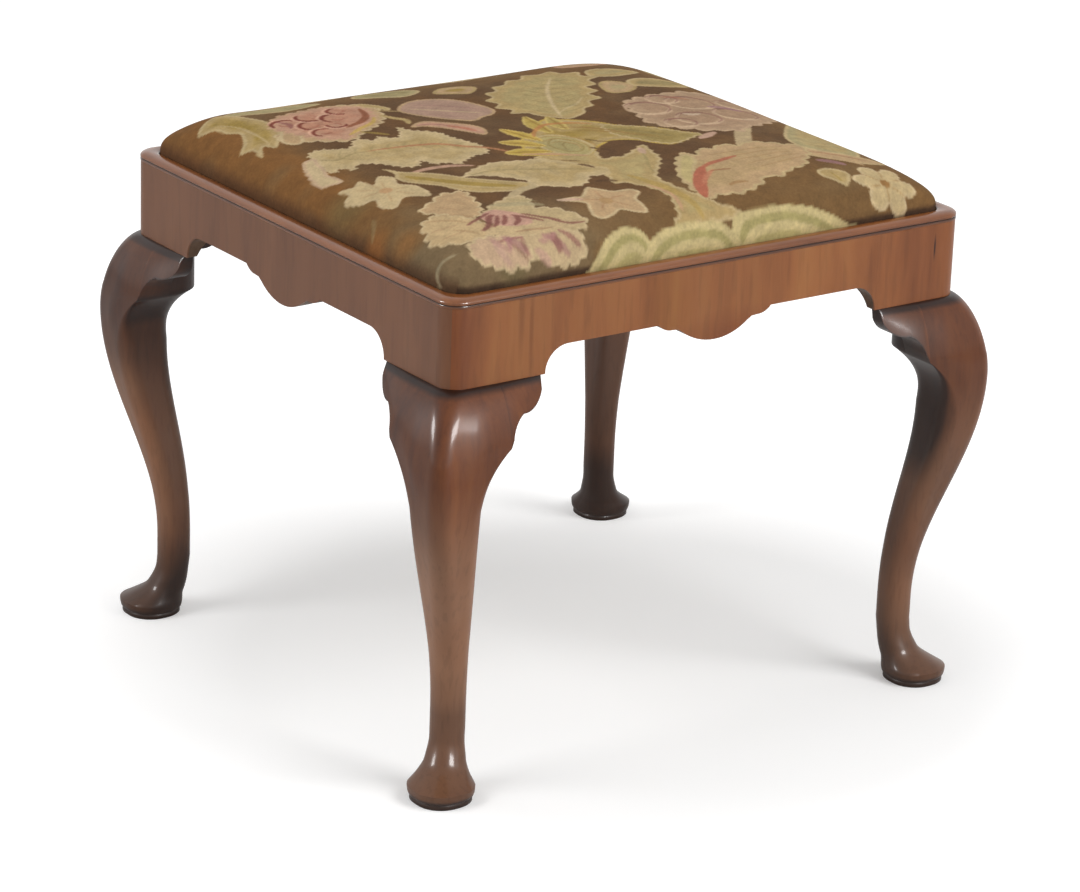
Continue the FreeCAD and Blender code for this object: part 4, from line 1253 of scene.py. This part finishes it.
def draw_coral_flower(canvas):
    """Tan flower with a coral streak at the front right, and the leaves beside it."""
    canvas.shape((sage, cream, 3, straw, 8), 180, -110, 190, -92, 200, -80, 212, -66, 226, -50, 240, -32,
          252, -18, 255, -60, 251, -100, 241, -130, 228, -150, 214, -166, 200, -162, 190, -150, 178, -132)
    canvas.leaf_veins([(188, -138), (206, -112), (224, -84), (240, -54)], 20, 14, cream, 0.6)
    canvas.shape((tan, cream, 2.6), 172, -132, 190, -146, 208, -158, 226, -172, 232, -182, 216, -186,
          200, -182, 186, -172, 172, -160, 164, -148)
    canvas.stroke((3, rust, 0.4), 176, -146, 196, -160, 216, -176)
    canvas.shape((tan, cream, 3, (170, 144, 104), 12, (15, 3.4)), 21, -206, 18, -192, 21, -176, 25, -162,
          31, -150, 38, -140, 46, -127, 55, -116, 65, -108, 72, -106, 73, -117, 80, -112, 88, -103,
          100, -106, 112, -100, 121, -104, 129, -108, 140, -103, 154, -108, 166, -118, 178, -126, 177, -140,
          172, -152, 160, -163, 150, -175, 138, -178, 124, -183, 110, -190, 97, -186, 88, -195, 75, -201,
          56, -206, 38, -203)
    canvas.shape(((176, 158, 110), cream, 2.5), 24, -168, 30, -152, 42, -136, 54, -120, 66, -110, 70, -116,
          66, -130, 52, -146, 38, -166, 30, -184)
    for offset in range(5):
        canvas.line([(84 + 5 * offset, -122 - 11 * offset), (112 + 4 * offset, -122 - 10 * offset),
                     (138 + 3 * offset, -122 - 9 * offset), (162, -128 - 7 * offset)], 2.0, (150, 118, 82),
                    0.5)
    canvas.stroke((12, coral, 0.95), 20, -204, 30, -184, 44, -164, 60, -146)
    canvas.stroke((6, coral, 0.85), 52, -152, 70, -142, 86, -138, 106, -133)
    canvas.stroke((5, (182, 120, 92), 0.8), 36, -180, 50, -166, 64, -156)
    canvas.stroke((2.4, rust, 0.6), 60, -158, 70, -158, 80, -160)
    canvas.stroke((5, (150, 116, 78), 0.8), 56, -190, 66, -187, 76, -189)
    canvas.shape((straw, cream, 3), 149, -190, 160, -187, 170, -192, 175, -201, 169, -211, 159, -219,
          153, -209, 147, -200)
    canvas.stroke((2.5, olive, 0.6), 160, -196, 160, -204, 159, -212)
    canvas.stroke((8, (150, 112, 112), 0.8), 166, -168, 176, -174, 186, -184)
    canvas.stroke((4, tan, 0.9), 178, -166, 194, -176, 204, -188)


def draw_small_flower(canvas):
    """Flower of six equal petals at the front right."""
    centre = np.array((200, -221))
    radius = 30
    brown = (140, 104, 62)
    bays = 0.42 * (1 - np.abs(np.cos(3 * np.radians(np.arange(0, 360, 6) - 100))) ** 0.7)
    canvas.form(arc(centre, radius * (1 - bays[:, None]), 0, 6, 60), cream, pale, 2.5)
    canvas.spokes(centre, arc(centre, radius, 130, 60, 6), (0.2, 0.45, 0.72), 1.6, brown, 0.45)
    canvas.form(arc(centre, 0.17 * radius, 0, 60, 6), brown)


def draw_hillock(canvas):
    """Three scallops of turf along the front, each with three bands inside it."""
    for numbers in ((-124, -256, -121, -248, -112, -239, -98, -229, -82, -223, -68, -224, -60, -234,
                     -58, -256),
                    (22, -256, 24, -240, 34, -229, 52, -226, 82, -226, 104, -230, 124, -237, 144, -248,
                     150, -256),
                    (-66, -256, -64, -242, -54, -234, -36, -229, -14, -228, 8, -230, 22, -236, 28, -256)):
        outline = np.reshape(numbers, (-1, 2))
        top = outline[4][0]
        for narrow, drop, tint in ((0, 0, hill_dark), (0, 0, hill_light), (0.1, 6, hill_dark),
                                   (0.18, 12, hill_light), (0.28, 19, (172, 158, 106))):
            canvas.form([(u + narrow * (top - u), v - drop) for u, v in outline], tint)


def needlework_colours(u, v):
    """Colour of each place of the unrolled cover, as screen values from 0 to 1."""
    canvas = Canvas(u, v)
    lay_ground(canvas)
    for draw in (draw_back, draw_peony, draw_tulip, draw_left_leaf, draw_small_leaves, draw_rose,
                 draw_serrated_leaf, draw_coral_flower, draw_small_flower, draw_middle, draw_hillock,
                 draw_great_flower):
        draw(canvas)
    canvas.colour *= 1 + 0.05 * mottle(u, v, 1.3, 6)[:, None] + 0.05 * mottle(u, v, 7, 7)[:, None]
    return np.clip(canvas.colour / 255, 0, 1)


# Materials
def new_material(name):
    """Material with its node tree and shader."""
    material = bpy.data.materials.new(name)
    material.use_nodes = True
    return material, material.node_tree, material.node_tree.nodes["Principled BSDF"]


def feed(tree, made, *places, **names):
    """Gives a node its inputs by place or by name, each a value or a socket to link."""
    named = {key.replace("_", " "): value for key, value in names.items()}
    for key, value in (dict(enumerate(places)) | named).items():
        if isinstance(value, bpy.types.NodeSocket):
            tree.links.new(value, made.inputs[key])
        else:
            made.inputs[key].default_value = value
    return made


def node(tree, kind, *places, **values):
    """New shader node with its settings and inputs."""
    made = tree.nodes.new("ShaderNode" + kind)
    for key in [key for key in values if hasattr(made, key)]:
        setattr(made, key, values.pop(key))
    return feed(tree, made, *places, **values)


def place_texture(tree, scale, shift=(0, 0, 0)):
    """Object coordinates in metres, scaled for a texture."""
    place = node(tree, "TexCoord").outputs["Object"]
    return node(tree, "Mapping", Vector=place, Scale=scale, Location=shift).outputs["Vector"]


def noise(tree, vector, detail, rough, distort=0.0):
    """Noise value."""
    return node(tree, "TexNoise", Vector=vector, Scale=1.0, Detail=detail, Roughness=rough,
                Distortion=distort).outputs["Fac"]


def ramp(tree, value, *stops):
    """Colour ramp through (place, colour) stops."""
    made = node(tree, "ValToRGB", Fac=value)
    elements = made.color_ramp.elements
    while len(elements) < len(stops):
        elements.new(0.5)
    for element, (place, colour) in zip(elements, stops):
        element.position = place
        element.color = colour
    return made.outputs["Color"]


def mix(tree, kind, share, first, second):
    """Blend of two colours; share, first and second are sockets or values."""
    made = node(tree, "Mix", share, data_type="RGBA", blend_type=kind)
    for place, value in ((6, first), (7, second)):
        if isinstance(value, bpy.types.NodeSocket):
            tree.links.new(value, made.inputs[place])
        else:
            made.inputs[place].default_value = value
    return made.outputs[2]


def bump(tree, height, strength, distance):
    """Bump from a height value, with its distance in millimetres."""
    return node(tree, "Bump", Height=height, Strength=strength, Distance=distance * MM).outputs["Normal"]


def grey(value):
    """Colour of equal parts."""
    return (value, value, value, 1)


def wood(name, tones, stretch, gloss, figure=0.35, streak=0.3, shift=(0, 0, 0), sheen_tone=None, spots=(),
         coat=0.32):
    """Polished wood; stretch is the texture's scale along X, Y and Z, least along the grain.

    Each spot is a place in metres, its half sizes and the tint that multiplies the wood there.
    """
    material, tree, shader = new_material(name)

    def grain(size, *looks):
        return noise(tree, place_texture(tree, [size * part for part in stretch], shift), *looks)

    lines = mix(tree, "MIX", streak, grey(0.5), grain(1, 6.0, 0.6, 0.4))
    colour = ramp(tree, lines, *zip((0.38, 0.5, 0.62), tones))
    broad = grain(0.2, 3.0, 0.5, 1.0)
    colour = mix(tree, "MULTIPLY", 1.0, colour, ramp(tree, broad, (0.3, grey(1 - figure)), (0.6, grey(1.0))))
    # Paler tone in patches on the shank: a painted reflection
    if sheen_tone:
        bloom = noise(tree, place_texture(tree, (9, 9, 5), (3, 1, 0)), 3.0, 0.55)
        patches = ramp(tree, bloom, (0.35, grey(0.35)), (0.65, grey(0.95)))
        shank = node(tree, "Attribute", attribute_name="shank_sheen").outputs["Fac"]
        colour = mix(tree, "MIX", mix(tree, "MULTIPLY", 1.0, patches, shank), colour, sheen_tone)
    # Darkening from each mesh's values, much of it painted shade
    patina_and_shade = node(tree, "Attribute", attribute_name="patina_and_shade").outputs["Fac"]
    colour = mix(tree, "MULTIPLY", patina_and_shade, colour, patina_and_shade_tint)
    for place, sizes, tint in spots:
        scale = [1 / size for size in sizes]
        vector = place_texture(tree, scale, [-part * times for part, times in zip(place, scale)])
        near = node(tree, "TexGradient", gradient_type="SPHERICAL", Vector=vector).outputs["Fac"]
        colour = mix(tree, "MULTIPLY", ramp(tree, near, (0.0, grey(0.0)), (0.7, grey(1.0))), colour, tint)
    pores = grain(6, 2.0, 0.5)
    colour = mix(tree, "MULTIPLY", 0.35, colour, ramp(tree, pores, (0.36, grey(0.7)), (0.46, grey(1.0))))
    rough = ramp(tree, broad, (0.3, grey(gloss + 0.08)), (0.7, grey(gloss - 0.04)))
    feed(tree, shader, Base_Color=colour, Roughness=rough, Specular_IOR_Level=0.19, Coat_Weight=coat,
         Coat_Roughness=0.16, Normal=bump(tree, pores, 0.1, 0.2))
    return material


def cloth(name, thread, pitch, colour_low, colour_high):
    """Plain weave: threads over and under each other at a pitch in millimetres."""
    material, tree, shader = new_material(name)
    checker = node(tree, "TexChecker", Vector=place_texture(tree, (1 / (pitch * MM),) * 3), Scale=1.0,
                   Color1=grey(1.0), Color2=grey(0.55))
    fuzz = noise(tree, place_texture(tree, (160,) * 3), 5.0, 0.6)
    colour = ramp(tree, fuzz, (0.3, colour_low), (0.7, colour_high))
    feed(tree, shader, Base_Color=mix(tree, "MULTIPLY", 0.35, colour, checker.outputs["Color"]),
         Roughness=0.9, Specular_IOR_Level=0.2, Normal=bump(tree, checker.outputs["Fac"], 0.5, thread))
    return material


def needlework_material():
    """Wool stitches whose colours are painted on the cover's points."""
    material, tree, shader = new_material("needlework")
    paint = node(tree, "Attribute", attribute_name="stitches").outputs["Color"]
    wool = noise(tree, place_texture(tree, (420,) * 3), 3.0, 0.6)
    shade = ramp(tree, wool, (0.25, grey(0.8)), (0.75, grey(1.12)))
    feed(tree, shader, Base_Color=mix(tree, "MULTIPLY", 0.65, paint, shade), Roughness=0.9,
         Specular_IOR_Level=0.12, Normal=bump(tree, wool, 0.4, 0.5))
    return material


def plain_metal(name, colour, roughness):
    """Dull iron or steel."""
    material, tree, shader = new_material(name)
    stain = noise(tree, place_texture(tree, (300,) * 3), 4.0, 0.55)
    darker = (*(0.6 * part for part in colour[:3]), 1)
    feed(tree, shader, Base_Color=ramp(tree, stain, (0.3, colour), (0.7, darker)), Metallic=0.8,
         Roughness=roughness)
    return material


def dress(material, *names):
    """Gives CAD nodes their finished material."""
    for name in names:
        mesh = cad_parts[name].data
        if not mesh.materials:
            mesh.materials.append(material)
        for index in range(len(mesh.materials)):
            mesh.materials[index] = material


# Camera, floor and light
def make_camera():
    """Camera at the photograph's viewing angle."""
    back = Vector((sin(camera_yaw) * cos(camera_pitch), -cos(camera_yaw) * cos(camera_pitch),
                   sin(camera_pitch)))
    right = (-back).cross(Vector((0, 0, 1))).normalized()
    down = (-back).cross(right)
    rolled_right = cos(camera_roll) * right + sin(camera_roll) * down
    rolled_down = -sin(camera_roll) * right + cos(camera_roll) * down
    data = bpy.data.cameras.new("camera")
    data.sensor_fit = "HORIZONTAL"
    data.sensor_width = 36
    data.lens = camera_focal_pixels / photo_width * data.sensor_width
    data.clip_end = 100
    camera = place_in_scene("camera", data)
    axes = Matrix((rolled_right, -rolled_down, back)).transposed()
    camera.matrix_world = Matrix.Translation(camera_place) @ axes.to_4x4()
    bpy.context.scene.camera = camera


def area_light(name, place, target, size, power, mirrored_only=False):
    """Soft lamp pointing at a place, which either lights the stool or shows in its polish."""
    data = bpy.data.lights.new(name, "AREA")
    data.shape = "RECTANGLE"
    data.size, data.size_y = size
    data.energy = power
    lamp = place_in_scene(name, data)
    lamp.location = place
    lamp.rotation_euler = (Vector(target) - Vector(place)).to_track_quat("-Z", "Y").to_euler()
    lamp.visible_camera = False
    lamp.visible_glossy = mirrored_only
    lamp.visible_diffuse = not mirrored_only


def make_world():
    """Even pale surroundings, white where they are seen or mirrored."""
    world = bpy.data.worlds.new("studio")
    bpy.context.scene.world = world
    world.use_nodes = True
    tree = world.node_tree
    lit = feed(tree, tree.nodes["Background"], Color=grey(1.0), Strength=world_light)
    seen = node(tree, "Background", Color=grey(1.0), Strength=1.0)
    ray = node(tree, "LightPath").outputs
    direct = node(tree, "Math", ray["Is Camera Ray"], ray["Is Glossy Ray"], operation="MAXIMUM")
    direct = node(tree, "Math", direct.outputs[0], ray["Is Transmission Ray"], operation="MAXIMUM")
    blend = node(tree, "MixShader", direct.outputs[0], lit.outputs[0], seen.outputs[0])
    feed(tree, tree.nodes["World Output"], Surface=blend.outputs[0])


def make_floor():
    """Wide pale floor that keeps the shadow, with a glow that grows away from the stool."""
    mesh = bpy.data.meshes.new("floor")
    mesh.from_pydata([(x * floor_reach, y * floor_reach, 0) for x, y in ((-1, -1), (1, -1), (1, 1), (-1, 1))],
                     [], [(0, 1, 2, 3)])
    floor = place_in_scene("floor", mesh)
    material, tree, shader = new_material("pale_floor")
    feed(tree, shader, Base_Color=grey(0.8), Roughness=0.9, Specular_IOR_Level=0.1)
    fade = node(tree, "TexGradient", gradient_type="SPHERICAL",
                Vector=place_texture(tree, (1 / glow_reach,) * 3, glow_shift))
    strength = ramp(tree, fade.outputs["Fac"], *((place, grey(value)) for place, value in glow_stops))
    glow = node(tree, "Emission", Color=grey(1.0), Strength=strength)
    clear = node(tree, "Emission", Color=grey(1.0), Strength=0.0)
    seen = node(tree, "LightPath").outputs["Is Camera Ray"]
    pick = node(tree, "MixShader", seen, clear.outputs[0], glow.outputs[0])
    total = node(tree, "AddShader", shader.outputs[0], pick.outputs[0])
    feed(tree, tree.nodes["Material Output"], Surface=total.outputs[0])
    mesh.materials.append(material)


def paint_cover(cover, unrolled):
    """Colour of every point of the cover."""
    colours = np.ones((len(unrolled), 4), np.float32)
    colours[:, :3] = to_linear(needlework_colours(*unrolled.T))
    attribute = cover.data.color_attributes.new("stitches", "FLOAT_COLOR", "POINT")
    attribute.data.foreach_set("color", colours.ravel())


def make_all():
    """The whole scene."""
    make_camera()
    make_world()
    make_floor()
    for lamp in lamps:
        area_light(*lamp)
    make_legs(wood("walnut", leg_tones, (45, 45, 6), 0.42, 0.36, 0.45, sheen_tone=shank_sheen_tone))
    dress(wood("veneer_front", front_tones, (30, 30, 3), 0.4, 0.2, 0.5, spots=front_spots),
          "front_veneer", "back_veneer")
    # Side veneers in darker tones: painted shade
    dress(wood("veneer_side_shaded", side_shade_tones, (30, 30, 3), 0.4, 0.15, 0.35, (5, 2, 0)),
          "left_veneer", "right_veneer")
    mouldings = {}
    for axis, sides, along in (("x", ("front", "back"), (1, 10, 10)), ("y", ("left", "right"), (10, 1, 10))):
        moulding = wood("moulding_" + axis, lip_tones, [8 if part == 1 else 70 for part in along],
                        0.3, 0.25, 0.5, coat=0.7)
        beech_grain = [6 * part for part in along]
        beech = wood("beech_" + axis, beech_tones, beech_grain, 0.7)
        pale_beech = wood("seat_beech_" + axis, pale_tones, beech_grain, 0.7)
        for side in sides:
            mouldings[side] = moulding
            dress(beech, side + "_rail")
            dress(pale_beech, "seat_" + side + "_rail")
            if axis == "x":
                dress(beech, side + "_left_corner_block", side + "_right_corner_block")
    make_lips(mouldings)
    dress(plain_metal("screw_steel", srgb(150, 148, 142), 0.45), "block_screws")
    dress(plain_metal("tack_iron", srgb(62, 60, 60), 0.5), "cover_tacks")
    paint_cover(*make_cover(needlework_material()))
    make_inner_layers(cloth("calico", 0.2, 0.6, srgb(214, 206, 184), srgb(232, 226, 208)),
                      cloth("horsehair", 0.4, 1.2, srgb(40, 30, 24), srgb(62, 48, 38)))
    make_webbing(cloth("webbing", 0.4, 2.0, srgb(150, 124, 84), srgb(182, 154, 110)))
    make_hessian(cloth("hessian", 0.3, 1.6, srgb(140, 112, 72), srgb(172, 142, 98)))


make_all()
bpy.context.scene.view_settings.view_transform = "Standard"
